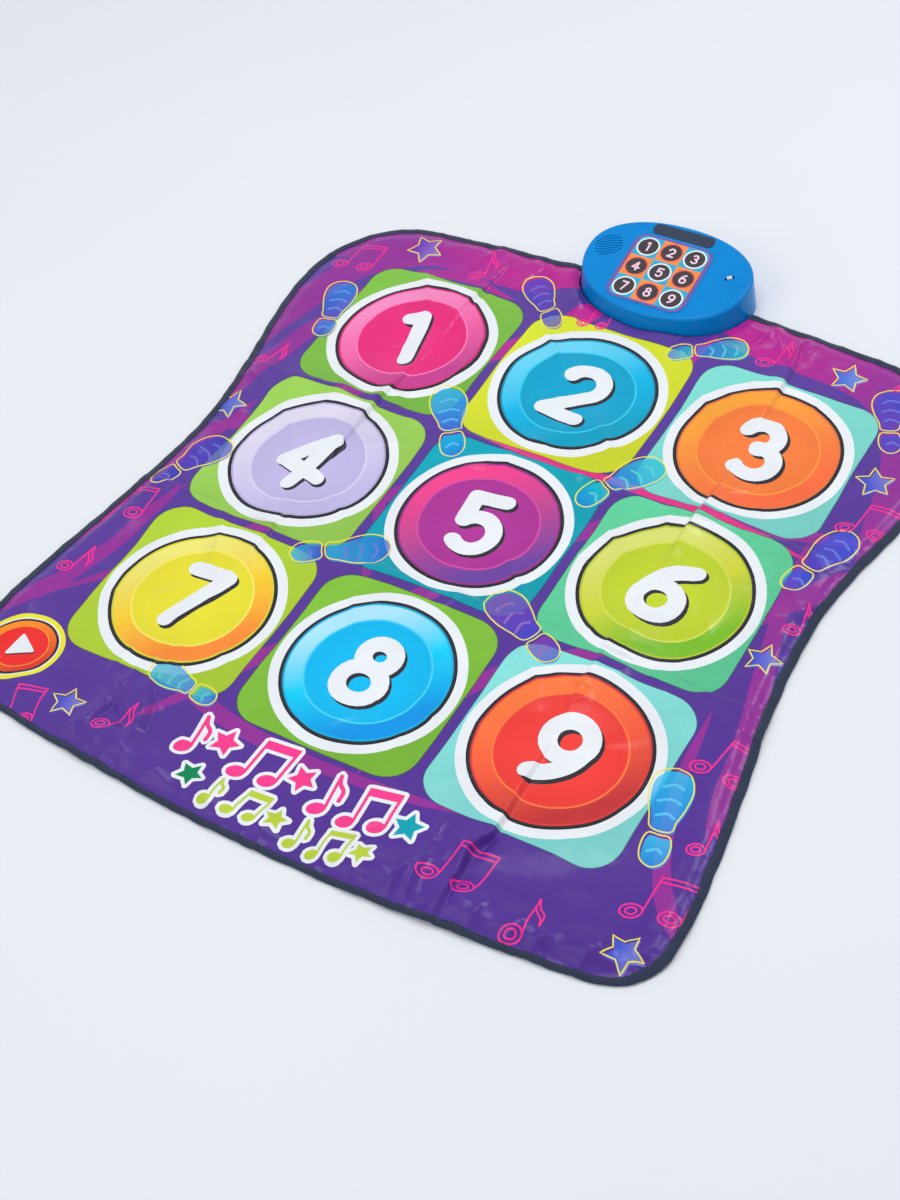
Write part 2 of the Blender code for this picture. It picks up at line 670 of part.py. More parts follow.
def box_shell(lid):
    """The moulded top: a drafted oval wall under a tilted lid, open below, clear of the mat."""
    roof_inset = DRAFT + WALL + INNER_CHAMFER
    loops = [under_lid(roof_inset, WALL), under_lid(DRAFT + WALL, WALL + INNER_CHAMFER),
             at_height(box_outline(WALL), FLOOR_GAP), at_height(box_outline(0), FLOOR_GAP)]
    for share in spaced(0, 1, EDGE_STEPS):
        a = share * pi / 2
        loops.append(under_lid(DRAFT + EDGE_ROUND * (1 - cos(a)), EDGE_ROUND * (1 - sin(a))))
    shell = add_piece("box_shell", loft(loops), "blue_plastic")
    cut(shell, "mat_relief", prism(mat_outline(-EDGE_CLEARANCE), -MAT_TOP, MAT_TOP + GAP))
    bosses, pilots = bmesh.new(), bmesh.new()
    for x, y in case_bosses():
        disc(BOSS_RADIUS, SMALL_FACETS, BASE_TOP + GAP, lid_z(y) - WALL / 2, (x, y), bosses)
        disc(PILOT_RADIUS, SMALL_FACETS, 0, BASE_TOP + PILOT_DEPTH, (x, y), pilots)
    join(shell, "bosses", bosses)
    cut(shell, "pilots", pilots)
    collar = disc(SPEAKER_RADIUS + SIDE_GAP + COLLAR, INNER_FACETS, -WALL - COLLAR_HEIGHT, -WALL / 2)
    speaker_place = (GRILLE_X, GRILLE_Y, 0)
    join(shell, "collar", collar, parent=lid, place=speaker_place)
    pocket = disc(SPEAKER_RADIUS + SIDE_GAP, INNER_FACETS, -WALL - 2 * COLLAR_HEIGHT, -WALL)
    cut(shell, "pocket", pocket, parent=lid, place=speaker_place)
    cut(shell, "slots", grille_slots(), parent=lid, place=speaker_place, turn=GRILLE_TURN)
    recesses = prism(panel_outline(GAP), -PANEL, WALL)
    prism(badge_outline(GAP), -PANEL, WALL, recesses)
    cut(shell, "recesses", recesses, parent=lid)
    windows = bmesh.new()
    for centre in lid_cells():
        disc(WINDOW_RADIUS, SMALL_FACETS, -2 * WALL, WALL, centre, windows)
    cut(shell, "windows", windows, parent=lid)
    slot_length = KNOB_LENGTH + SWITCH_TRAVEL + 2 * KNOB_GAP
    slot = rounded_rectangle(slot_length, KNOB_WIDTH + 2 * KNOB_GAP, 2 * KNOB_GAP, 3)
    cut(shell, "switch_slot", prism(slot, -2 * WALL, WALL), parent=lid,
        place=(SWITCH_X, SWITCH_Y, 0), turn=SWITCH_TURN)


def lid_pieces(lid):
    """What sits in and under the lid, in its tilted plane."""
    panel = prism(panel_outline(0), GAP - PANEL, GAP)
    add_piece("number_panel", panel, "panel_film", lid)
    badge = prism(badge_outline(0), GAP - PANEL, GAP)
    add_piece("badge", badge, "badge_film", lid)
    board_place = (PANEL_X, PANEL_Y, -BOARD_DROP - BOARD)
    outline = rounded_rectangle(BOARD_SIZE, BOARD_SIZE, BOARD_CORNER, 2)
    board = prism(outline, 0, BOARD)
    add_piece("circuit_board", board, "circuit_board", lid, board_place)
    baffle_height = BOARD_DROP - WALL - 2 * GAP
    baffle = prism(outline, 0, baffle_height)
    baffle_z = GAP - BOARD_DROP
    baffle = add_piece("light_baffle", baffle, "white_plastic", lid, (PANEL_X, PANEL_Y, baffle_z))
    wells = bmesh.new()
    for centre in lid_cells():
        disc(WELL_RADIUS, SMALL_FACETS, -2 * BOARD_DROP, 0, centre, wells)
    cut(baffle, "wells", wells, parent=lid)
    dome = [(LAMP_RADIUS * cos(a), LAMP_HEIGHT - LAMP_RADIUS * (1 - sin(a)))
            for a in spaced(0, pi / 2, DOME_STEPS)]
    flange = LAMP_RADIUS + LAMP_FLANGE
    profile = [(0, 0), (flange, 0), (flange, LAMP_FLANGE), (LAMP_RADIUS, LAMP_FLANGE)] + dome
    for k, (x, y) in enumerate(lid_cells()):
        place = (x, y, GAP - BOARD_DROP)
        add_piece(f"lamp_{k + 1}", turned(profile, TINY_FACETS), "lamp", lid, place)
    clamp = block(CLAMP[0], CLAMP[1], -CLAMP[2], 0)
    clamp_y = (sum(tail_stations()[1:]) / 2 - BOX_Y) / cos(LID_TILT)
    clamp_z = -(BOARD_DROP + BOARD + 2 * GAP + FILM + GAP)
    add_piece("tail_clamp", clamp, "white_plastic", lid, (0, clamp_y, clamp_z))


def speaker(lid):
    """The loudspeaker, with a dished cone and a magnet, in its collar."""
    step = SPEAKER_RADIUS - SPEAKER_RIM
    profile = [(0, -CONE_DEPTH), (DOME_RADIUS, -CONE_DEPTH), (step - CONE_TOP, -CONE_TOP), (step, 0),
               (SPEAKER_RADIUS, 0), (SPEAKER_RADIUS, -SPEAKER_FLANGE),
               (step, -SPEAKER_FLANGE - CONE_TOP), (MAGNET_RADIUS, -BASKET_DEPTH),
               (MAGNET_RADIUS, -SPEAKER_DEPTH), (0, -SPEAKER_DEPTH)]
    place = (GRILLE_X, GRILLE_Y, -WALL - GAP)
    add_piece("loudspeaker", turned(profile, INNER_FACETS), "speaker_metal", lid, place)


def switch(lid):
    """The slide switch: its body under the lid and the knob that slides in the slot."""
    place = (SWITCH_X, SWITCH_Y, -WALL - GAP)
    body = block(SWITCH_BODY[0], SWITCH_BODY[1], -SWITCH_BODY[2], 0)
    add_piece("switch_body", body, "black_plastic", lid, place, SWITCH_TURN)
    knob = block(KNOB_LENGTH, KNOB_WIDTH, -WALL, KNOB_RISE)
    knob = add_piece("switch_knob", knob, "grey_plastic", lid, (SWITCH_X, SWITCH_Y, 0), SWITCH_TURN)
    grips = bmesh.new()
    for k in (-1, 0, 1):
        block(KNOB_GAP, KNOB_WIDTH * 2, KNOB_RISE - KNOB_GAP, 2 * KNOB_RISE,
              (k * KNOB_LENGTH / 4, 0), grips)
    cut(knob, "grips", grips, parent=lid, place=(SWITCH_X, SWITCH_Y, 0), turn=SWITCH_TURN)


def door_outline(grow):
    """The battery door: a plate with a tongue for its screw at the rear."""
    length, width = BAY_LENGTH + 2 * (LEDGE + grow), BAY_WIDTH + 2 * (LEDGE + grow)
    tongue = TONGUE_WIDTH / 2 + grow
    centre_y = BOX_Y + BAY_Y
    low, high = centre_y - width / 2, centre_y + width / 2
    left, right = BOX_X - length / 2, BOX_X + length / 2
    tip = high - grow + TONGUE_REACH + grow
    return [(left, low), (right, low), (right, high), (BOX_X + tongue, high), (BOX_X + tongue, tip),
            (BOX_X - tongue, tip), (BOX_X - tongue, high), (left, high)]


def door_screw_place():
    """Where the battery door's screw goes."""
    return (BOX_X, BOX_Y + BAY_Y + BAY_WIDTH / 2 + LEDGE + TONGUE_REACH - TONGUE_WIDTH / 2)


def tabs(grow, rear, low, high):
    """The door's two hinge tabs, or with growth their pockets, from its front edge forwards."""
    bm = bmesh.new()
    reach = TAB_REACH + grow + rear
    for way in (-1, 1):
        centre = (BOX_X + way * TAB_X, DOOR_FRONT_Y + rear - reach / 2)
        block(TAB_WIDTH + 2 * grow, reach, low, high, centre, bm)
    return bm


def box_base():
    """The box's base plate, with the battery bay, screw holes and seats for the feet."""
    base = add_piece("box_base", prism(box_outline(WALL + GAP), FLOOR_GAP, BASE_TOP), "blue_plastic")
    centre = (BOX_X, BOX_Y + BAY_Y)
    outer = block(BAY_LENGTH + 2 * BAY_WALL, BAY_WIDTH + 2 * BAY_WALL, BASE_TOP - GAP,
                  BAY_TOP + BAY_WALL, centre)
    join(base, "bay", outer)
    boss = disc(DOOR_BOSS_RADIUS, SMALL_FACETS, DOOR_TOP + GAP, DOOR_TOP + DOOR_BOSS_HEIGHT,
                door_screw_place())
    join(base, "door_boss", boss)
    cut(base, "bay_room", block(BAY_LENGTH, BAY_WIDTH, 0, BAY_TOP, centre))
    cut(base, "door_room", prism(door_outline(SIDE_GAP), 0, DOOR_TOP + GAP))
    pockets = tabs(SIDE_GAP, LEDGE + SIDE_GAP, DOOR_TOP - TAB - GAP, TAB_SWING)
    cut(base, "tab_pockets", pockets)
    holes, seats = bmesh.new(), bmesh.new()
    for place in case_bosses():
        disc(PILOT_RADIUS, SMALL_FACETS, 0, 2 * BASE_TOP, place, holes)
        disc(HEAD_RADIUS + SIDE_GAP, SMALL_FACETS, 0, FLOOR_GAP + HEAD + GAP, place, seats)
    pilot = SHANK_RADIUS + SIDE_GAP + GAP
    pilot_top = DOOR_TOP + DOOR_BOSS_HEIGHT - DOOR_PILOT_LEFT
    disc(pilot, SMALL_FACETS, 0, pilot_top, door_screw_place(), holes)
    for place in both_sides(FRONT_FOOT) + both_sides(REAR_FOOT):
        disc(FOOT_RADIUS + GAP, SMALL_FACETS, 0, FLOOR_GAP + FOOT_SEAT, place, seats)
    cut(base, "holes", holes)
    cut(base, "seats", seats)


def battery_door():
    """The battery door, with its origin on the line that it tilts about."""
    axis = Vector((BOX_X, DOOR_FRONT_Y, FLOOR_GAP))
    plate = prism(door_outline(0), FLOOR_GAP, DOOR_TOP)
    plate.transform(Matrix.Translation(-axis))
    door = add_piece("battery_door", plate, "blue_plastic", place=axis)
    join(door, "tabs", tabs(0, SIDE_GAP, DOOR_TOP - TAB, DOOR_TOP))
    x, y = door_screw_place()
    cut(door, "screw_hole", disc(SHANK_RADIUS + GAP, SMALL_FACETS, 0, 2 * DOOR_TOP, (x, y)))
    cut(door, "head_seat", disc(HEAD_RADIUS + GAP, SMALL_FACETS, 0, FLOOR_GAP + HEAD, (x, y)))
    screw("door_screw", (x, y), FLOOR_GAP - GAP)


def screw(name, centre, z):
    """A pan-headed screw, head down, with its head's face at a height."""
    profile = [(0, 0), (HEAD_RADIUS - HEAD_ROUND, 0), (HEAD_RADIUS, HEAD_ROUND),
               (HEAD_RADIUS, HEAD), (SHANK_RADIUS, HEAD), (SHANK_RADIUS, SHANK_REACH),
               (0, SHANK_REACH + SHANK_RADIUS)]
    add_piece(name, turned(profile, TINY_FACETS), "steel", place=(*centre, z))


def screws_and_feet():
    """The four case screws and the four rubber feet."""
    for k, centre in enumerate(case_bosses()):
        screw(f"case_screw_{k + 1}", centre, FLOOR_GAP)
    top = FLOOR_GAP + FOOT_SEAT - GAP
    for k, centre in enumerate(both_sides(FRONT_FOOT) + both_sides(REAR_FOOT)):
        foot = loft([at_height(circle(FOOT_RADIUS - GAP, SMALL_FACETS, centre), 0),
                     at_height(circle(FOOT_RADIUS, SMALL_FACETS, centre), GAP),
                     at_height(circle(FOOT_RADIUS, SMALL_FACETS, centre), top)])
        add_piece(f"rubber_foot_{k + 1}", foot, "rubber")


def cells_and_strips():
    """Three cells lying side by side, turned about, between two contact strips."""
    strips = []
    for side in (-1, 1):
        face = BAY_LENGTH / 2 - GAP - STRIP
        plate = block(STRIP, BAY_WIDTH - 2 * SIDE_GAP, 0, STRIP_HEIGHT,
                      (side * (face + STRIP / 2), 0))
        name = "contact_strip_left" if side < 0 else "contact_strip_right"
        place = (BOX_X, BOX_Y + BAY_Y, DOOR_TOP + 2 * GAP)
        strips.append((side, face, add_piece(name, plate, "steel", place=place)))
    centre_z = DOOR_TOP + GAP + CELL_RADIUS
    half = CELL_LENGTH / 2
    profile = [(0, -half), (CELL_RADIUS, -half), (CELL_RADIUS, half - NUB), (NUB_RADIUS, half - NUB),
               (NUB_RADIUS, half), (0, half)]
    for k in range(CELL_COUNT):
        way = 1 if k % 2 == 0 else -1
        y = BOX_Y + BAY_Y + (k - (CELL_COUNT - 1) / 2) * CELL_PITCH
        cell = turned(profile, SMALL_FACETS)
        cell.transform(Matrix.Rotation(way * pi / 2, 4, "Y"))
        x = BOX_X + way * CELL_SHIFT
        add_piece(f"cell_{k + 1}", cell, "cell_sleeve", place=(x, y, centre_z))
        for side, face, strip in strips:
            reach = face - (half + side * way * CELL_SHIFT) - GAP
            cone = cone_spring(reach + STRIP / 2)
            cone.transform(Matrix.Rotation(-side * pi / 2, 4, "Y"))
            join(strip, f"spring_{k + 1}", cone, place=(BOX_X + side * (face + STRIP / 2), y, centre_z))


def cone_spring(height):
    """The outer form of a conical contact spring that stands up along Z."""
    return loft([at_height(circle(SPRING_RADIUS, TINY_FACETS), 0),
                 at_height(circle(SPRING_RADIUS / 2, TINY_FACETS), height)])


def main():
    """Builds every piece of the mat and its box."""
    clear_scene()
    lid = bpy.data.objects.new("lid_plane", None)
    lid.location = (BOX_X, BOX_Y, LID_HEIGHT)
    lid.rotation_euler.x = LID_TILT
    bpy.context.scene.collection.objects.link(lid)
    backing_sheet()
    contact_films()
    pads_and_contacts()
    cover_film()
    edge_binding()
    box_base()
    battery_door()
    cells_and_strips()
    screws_and_feet()
    box_shell(lid)
    lid_pieces(lid)
    speaker(lid)
    switch(lid)
    bpy.context.view_layer.update()


main()
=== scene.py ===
"""Looks of an electronic dance mat: printed films, a sewn edge tape and a moulded control box.

Metres, +Z up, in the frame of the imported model. X runs across the mat and Y towards the control
box. The print's own figures are placed in millimetres from the middle pad.
"""

from functools import cache
from math import atan2, cos, pi, radians, sin, sqrt, tan

import bmesh
import bpy
import numpy as np
from mathutils import Matrix, Vector, geometry, kdtree


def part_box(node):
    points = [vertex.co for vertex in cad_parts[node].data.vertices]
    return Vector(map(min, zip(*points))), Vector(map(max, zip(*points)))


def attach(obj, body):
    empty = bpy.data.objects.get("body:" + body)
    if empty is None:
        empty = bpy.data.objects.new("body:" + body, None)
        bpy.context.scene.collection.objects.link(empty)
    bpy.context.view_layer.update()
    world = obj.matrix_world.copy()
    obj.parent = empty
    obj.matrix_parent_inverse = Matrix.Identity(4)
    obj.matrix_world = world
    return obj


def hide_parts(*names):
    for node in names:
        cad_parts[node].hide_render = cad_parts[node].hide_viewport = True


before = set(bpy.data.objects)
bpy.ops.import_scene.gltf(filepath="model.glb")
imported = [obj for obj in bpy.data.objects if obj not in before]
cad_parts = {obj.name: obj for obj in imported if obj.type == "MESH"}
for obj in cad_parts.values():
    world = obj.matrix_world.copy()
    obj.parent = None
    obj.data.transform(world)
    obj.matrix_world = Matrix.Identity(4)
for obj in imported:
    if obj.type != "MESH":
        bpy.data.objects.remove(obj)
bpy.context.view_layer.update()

bl_info = {
    "name": "Electronic dance mat",
    "version": (1, 0, 0),
    "blender": (4, 5, 0),
    "location": "3D View > Sidebar > Dance mat",
    "description": "Builds the printed films, the edge tape and the control box of a dance mat",
    "category": "Add Mesh",
}

MM = 0.001


def middle(node):
    """The centre of a CAD node's box."""
    low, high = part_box(node)
    return (low + high) / 2


def span(node):
    """The size of a CAD node's box."""
    low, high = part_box(node)
    return high - low


def centre_of(node):
    """The centre of a CAD node's box, seen from above."""
    return np.array(middle(node)[:2])


# Pads
PAD_NAMES = [f"pad_{k}" for k in range(1, 10)]
ALL_PADS = PAD_NAMES + ["pad_start"]
PAD_RADIUS = span("pad_5").x / 2
START_RADIUS = span("pad_start").x / 2
PITCH = middle("pad_2").x - middle("pad_1").x
MIDDLE_Y = middle("pad_5").y
HOLE_GAP = 0.5 * MM
PAD_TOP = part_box("pad_5")[1].z
TILE_SIZE = (217 * MM, 219 * MM)
TILE_CORNER = 34 * MM
INNER_RADIUS = 67.2 * MM
DIGIT_HEIGHT = 97 * MM
DIGIT_STROKE = 19.5 * MM
START_INNER_RADIUS = 29 * MM
START_CLEAR = 70  # in millimetres, a place round the start pad without small tucks
THIN_LINE = 1.5 * MM
NOTE_LINE = 1.9 * MM
HALO = 8 * MM

# Outline of the mat
FRONT_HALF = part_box("edge_binding")[1].x
REAR_HALF = FRONT_HALF - 5 * MM
WAIST_HALF = FRONT_HALF - 42 * MM
FRONT_EDGE_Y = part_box("edge_binding")[0].y
REAR_EDGE_Y = MIDDLE_Y + PITCH + PAD_RADIUS + 112.3 * MM
WAIST_Y = MIDDLE_Y + 10 * MM
FRONT_CROWN_RADIUS = 2842 * MM
REAR_CROWN_RADIUS = 3900 * MM
FRONT_CORNER_RADIUS = 65 * MM
REAR_CORNER_RADIUS = 135 * MM

# Layers at the edge
COVER_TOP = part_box("cover_film")[1].z
COVER = 0.5 * MM
COVER_KEPT = 0.57  # the share of the cover's triangles that is kept, by thinning its back
RIM_TOP = 2.4 * MM
RIM_FLAT = 12 * MM
RIM_END = 23 * MM
COVER_INSET = 2.5 * MM
BACKING = 0.5 * MM
BACKING_RIM = 0.9 * MM
TAPE_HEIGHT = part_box("edge_binding")[1].z
TAPE_WIDTH = 10.5 * MM
TAPE = 0.6 * MM
TAPE_DRAW = 0.22  # how far the tape's edge draws in, for each metre that the film lifts it
STITCH_INSET = 2.1 * MM
STITCH_SHARE = 0.72
THREAD_RADIUS = 0.32 * MM
TINY = 0.01 * MM  # nearer than this, two points or heights count as one

# Control box
BOX_X = middle("box_shell").x
BOX_HALF_WIDTH = span("box_shell").x / 2
BOX_FRONT_REACH = 82 * MM
BOX_REAR_REACH = span("box_shell").y - BOX_FRONT_REACH
BOX_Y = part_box("box_shell")[0].y + BOX_FRONT_REACH
BOX_POWER = 2.2
BOX_POINTS = 160
BOX_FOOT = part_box("box_shell")[0].z
LID_HEIGHT = 44.5 * MM
LID_TILT = radians(9.1)
WALL = 2.4 * MM
DRAFT = 3.5 * MM
EDGE_ROUND = 4 * MM
FLAP = 22 * MM
NOTCH_HEIGHT = COVER_TOP + 0.3 * MM
NOTCH_GAP = 1.5 * MM

# On the lid, in its tilted plane
PANEL_PLACE = (-4 * MM, -14 * MM)
PANEL_SIDE = 105 * MM
PANEL_CORNER = 16.3 * MM
PANEL = 0.7 * MM
PANEL_RISE = 0.3 * MM
RECESS_GAP = 0.3 * MM
CELL_PITCH_X = 31.5 * MM
CELL_PITCH_Y = 33 * MM
WINDOW_RADIUS = 10 * MM
BADGE_PLACE = (-2 * MM, 49.5 * MM)
BADGE_SIZE = (81 * MM, 16.5 * MM)
BADGE_CORNER = 7 * MM
GRILLE_PLACE = (-83 * MM, 6 * MM)
GRILLE_RADIUS = 17.5 * MM
GRILLE_TURN = radians(17)
SLOT_COUNT = 8
SLOT_PITCH = 4.1 * MM
SLOT_WIDTH = 1.25 * MM
SLOT_WAVE = 1.5 * MM
SWITCH_PLACE = (79 * MM, 6.6 * MM)
SWITCH_TURN = radians(40)
SWITCH_SLOT = (11.2 * MM, 4.6 * MM)
KNOB = (6.4 * MM, 3.8 * MM)
KNOB_RISE = 1.6 * MM

# How finely the sheets are meshed
COARSE = 6.4 * MM
FINE = 3.2 * MM
PAD_STEP = 3.2 * MM
LINE_STEP = 3.4 * MM
BACKING_STEP = 5 * MM
LABEL_STEP = 0.9 * MM
BORDER = 38 * MM
CREASE_BAND = 14 * MM
SEED = 11  # every random draw starts from it


def spot(x, y):
    """A place on the mat given in millimetres from the middle pad."""
    return np.array([x * MM, y * MM + MIDDLE_Y])


def radius_of(name):
    """A pad's radius."""
    return START_RADIUS if name == "pad_start" else PAD_RADIUS


def tone(red, green, blue):
    """A colour written in display values from 0 to 255, as the linear one that shaders take."""
    values = np.array([red, green, blue]) / 255
    return tuple(np.where(values <= 0.04045, values / 12.92, ((values + 0.055) / 1.055) ** 2.4))


GROUND = tone(84, 48, 150)
BAND = tone(152, 46, 148)
BRIGHT = tone(226, 48, 132)
WHITE = tone(231, 235, 239)
CHARCOAL = tone(44, 44, 52)
NOTE_PINK = tone(242, 46, 140)
THIN_YELLOW = tone(240, 226, 70)

# Each foot pad's tile, rim from light through middle to dark, inner line and middle
PAD_PRINTS = {
    "pad_1": ((122, 184, 66), (243, 138, 192), (240, 100, 166),
              (196, 62, 142), (250, 120, 180), (231, 42, 124)),
    "pad_2": ((208, 218, 42), (104, 210, 240), (0, 182, 228),
              (0, 156, 190), (54, 200, 232), (0, 162, 201)),
    "pad_3": ((122, 210, 198), (247, 162, 56), (246, 132, 62),
              (246, 106, 62), (250, 150, 60), (244, 124, 60)),
    "pad_4": ((150, 200, 82), (222, 214, 233), (207, 197, 229),
              (190, 181, 223), (214, 206, 234), (190, 180, 223)),
    "pad_5": ((0, 158, 176), (241, 66, 140), (190, 70, 144),
              (108, 66, 156), (214, 76, 160), (172, 50, 148)),
    "pad_6": ((92, 198, 148), (216, 221, 112), (203, 209, 56),
              (120, 186, 40), (208, 218, 84), (190, 207, 44)),
    "pad_7": ((172, 202, 52), (236, 228, 116), (242, 202, 48),
              (248, 138, 54), (244, 228, 100), (229, 220, 50)),
    "pad_8": ((124, 184, 56), (172, 227, 246), (0, 206, 243),
              (0, 148, 226), (70, 206, 246), (0, 184, 237)),
    "pad_9": ((128, 212, 206), (250, 120, 62), (246, 92, 60),
              (196, 52, 54), (252, 118, 62), (239, 62, 56)),
}
# How far each pad's number is turned, in degrees
DIGIT_TURNS = {1: 13, 2: -8, 3: 11, 4: -13, 5: 10, 6: -11, 7: 0, 8: -3, 9: -7}
START_PRINT = ((232, 226, 48), (250, 142, 34), (236, 96, 38),
               (222, 50, 40), (250, 150, 50), (232, 44, 42))


class DanceMatSettings(bpy.types.PropertyGroup):
    """Sizes and colours of the mat that a user would change."""

    crease_height: bpy.props.FloatProperty(
        name="Crease height", description="How high the fold creases stand", default=7.0 * MM,
        unit="LENGTH")
    pucker_height: bpy.props.FloatProperty(
        name="Pucker height", description="How high the film puckers beside the tape",
        default=3.4 * MM, unit="LENGTH")
    swell_height: bpy.props.FloatProperty(
        name="Swell height", description="How high the loose film swells", default=2.2 * MM,
        unit="LENGTH")
    stitch_pitch: bpy.props.FloatProperty(
        name="Stitch pitch", description="Distance between the stitches of the edge tape",
        default=3.4 * MM, unit="LENGTH")
    ground: bpy.props.FloatVectorProperty(
        name="Ground", description="Colour of the printed ground", default=GROUND,
        subtype="COLOR", min=0, max=1)
    band: bpy.props.FloatVectorProperty(
        name="Bands", description="Colour of the sweeping bands on the ground", default=BAND,
        subtype="COLOR", min=0, max=1)
    tape: bpy.props.FloatVectorProperty(
        name="Tape", description="Colour of the edge tape", default=tone(27, 39, 65),
        subtype="COLOR", min=0, max=1)
    plastic: bpy.props.FloatVectorProperty(
        name="Box", description="Colour of the control box", default=tone(0, 132, 208),
        subtype="COLOR", min=0, max=1)
    floor: bpy.props.FloatVectorProperty(
        name="Floor", description="Colour of the studio floor", default=tone(229, 231, 236),
        subtype="COLOR", min=0, max=1)


def settings():
    """The scene's settings."""
    return bpy.context.scene.dance_mat


# Materials


# Where a noise's values are taken as its least and its most
DRIFT = (0.3, 0.7)


class Finish:
    """A Principled material and the nodes that feed it."""

    def __init__(self, name, **sockets):
        self.material = bpy.data.materials.new(name)
        self.material.use_nodes = True
        self.nodes = self.material.node_tree.nodes
        self.links = self.material.node_tree.links
        self.shader = self.nodes["Principled BSDF"]
        self.set(**sockets)
        self.place = self.add("TexCoord").outputs["Object"]

    def set(self, **sockets):
        """Feeds the shader's sockets, named with underscores for spaces."""
        for name, value in sockets.items():
            self.feed(self.shader.inputs[name.replace("_", " ")], value)

    def feed(self, socket, value):
        """Links an output to a socket, or writes a value to it."""
        if isinstance(value, bpy.types.NodeSocket):
            self.links.new(value, socket)
        elif socket.type == "RGBA" and len(value) == 3:
            socket.default_value = (*value, 1.0)
        else:
            socket.default_value = value

    def add(self, kind, feeds=None, **options):
        """A shader node with its options and what feeds its sockets."""
        made = self.nodes.new("ShaderNode" + kind)
        for name, value in options.items():
            setattr(made, name, value)
        for name, value in (feeds or {}).items():
            self.feed(made.inputs[name], value)
        return made

    def stretched(self, place, scale, turn=(0, 0, 0)):
        """Coordinates scaled by axis and turned."""
        return self.add("Mapping", {"Vector": place, "Scale": scale, "Rotation": turn}).outputs[0]

    def noise(self, size, place=None, detail=2.0):
        """Noise whose features are about a size in metres."""
        feeds = {"Vector": place or self.place, "Scale": 1 / size, "Detail": detail,
                 "Roughness": 0.5}
        return self.add("TexNoise", feeds).outputs["Fac"]

    def cells(self, size, place=None, feature="F1", scatter=1.0):
        """The distance to random points, or to the edges of the cells round them."""
        feeds = {"Vector": place or self.place, "Scale": 1 / size, "Randomness": scatter}
        return self.add("TexVoronoi", feeds, feature=feature).outputs["Distance"]

    def wave(self, period, place, direction, distortion=0.0):
        """Parallel waves with a period in metres."""
        feeds = {"Vector": place, "Scale": pi / (10 * period), "Distortion": distortion}
        return self.add("TexWave", feeds, bands_direction=direction).outputs["Fac"]

    def reach(self, value, low, high, start=0.0, stop=1.0):
        """A value mapped from one range to another."""
        feeds = {"Value": value, "From Min": start, "From Max": stop, "To Min": low,
                 "To Max": high}
        return self.add("MapRange", feeds).outputs["Result"]

    def math(self, operation, first, second):
        """One step of arithmetic."""
        made = self.add("Math", operation=operation)
        self.feed(made.inputs[0], first)
        self.feed(made.inputs[1], second)
        return made.outputs[0]

    def mix(self, share, first, second, blend="MIX"):
        """Two colours blended by a share."""
        made = self.add("Mix", data_type="RGBA", blend_type=blend)
        self.feed(made.inputs[0], share)
        self.feed(made.inputs[6], first)
        self.feed(made.inputs[7], second)
        return made.outputs[2]

    def bumps(self, *layers):
        """Bump layers, each a height and its depth in metres, laid one on another."""
        normal = None
        for height, depth in layers:
            made = self.add("Bump", {"Height": height, "Distance": depth, "Strength": 1.0})
            if normal is not None:
                self.feed(made.inputs["Normal"], normal)
            normal = made.outputs["Normal"]
        self.set(Normal=normal)

    def tint(self, colour, amount, size):
        """Colours the surface, a little lighter and darker from place to place."""
        drift = self.noise(size, detail=3.0)
        darkest, lightest = 1 - amount, 1 + amount * 0.6
        if isinstance(colour, bpy.types.NodeSocket):
            grey = self.reach(drift, darkest, lightest, *DRIFT)
            greys = {"Red": grey, "Green": grey, "Blue": grey}
            mixed = self.mix(1.0, colour, self.add("CombineColor", greys).outputs[0], "MULTIPLY")
        else:
            mixed = self.mix(self.reach(drift, 0.0, 1.0, *DRIFT),
                             times(colour, darkest), times(colour, lightest))
        self.set(Base_Color=mixed)

    def dull(self, value, low, high):
        """Makes the surface's roughness follow a value, mostly noise."""
        self.set(Roughness=self.reach(value, low, high, *DRIFT))


@cache
def printed_film_finish():
    """Printed PVC film: the print, a satin gloss, a faint scrim and crumples from its folds."""
    film = Finish("glossy_print", Specular_IOR_Level=0.2)
    colour = film.add("Attribute", attribute_name="print").outputs["Color"]
    film.tint(colour, 0.05, 0.07)
    film.dull(film.noise(0.03, detail=3.0), 0.22, 0.32)
    crumple = film.add("Attribute", attribute_name="crumple").outputs["Fac"]
    bent = film.add("VectorMath", {0: film.place, 1: film.add("VectorMath", {
        0: film.add("TexNoise", {"Vector": film.place, "Scale": 16.0}).outputs["Color"],
        "Scale": 0.03}, operation="SCALE").outputs[0]}, operation="ADD").outputs[0]
    facets = [film.math("MULTIPLY", film.cells(size, bent, "DISTANCE_TO_EDGE"), crumple)
              for size in (0.052, 0.021)]
    scrim = film.math("ADD", film.wave(1.3 * MM, film.place, "X"),
                      film.wave(1.3 * MM, film.place, "Y"))
    film.bumps((film.noise(0.06, detail=1.0), 0.5 * MM), (facets[0], 3.4 * MM),
               (facets[1], 0.8 * MM), (film.noise(0.014, detail=1.0), 0.03 * MM),
               (scrim, 0.004 * MM), (film.noise(0.9 * MM), 0.006 * MM))
    return film.material


@cache
def film_back_finish():
    """The plain back and cut edge of the printed film."""
    back = Finish("film_back")
    back.tint(tone(60, 58, 66), 0.12, 0.02)
    back.dull(back.noise(0.01), 0.5, 0.65)
    back.bumps((back.noise(1.2 * MM), 0.03 * MM))
    return back.material


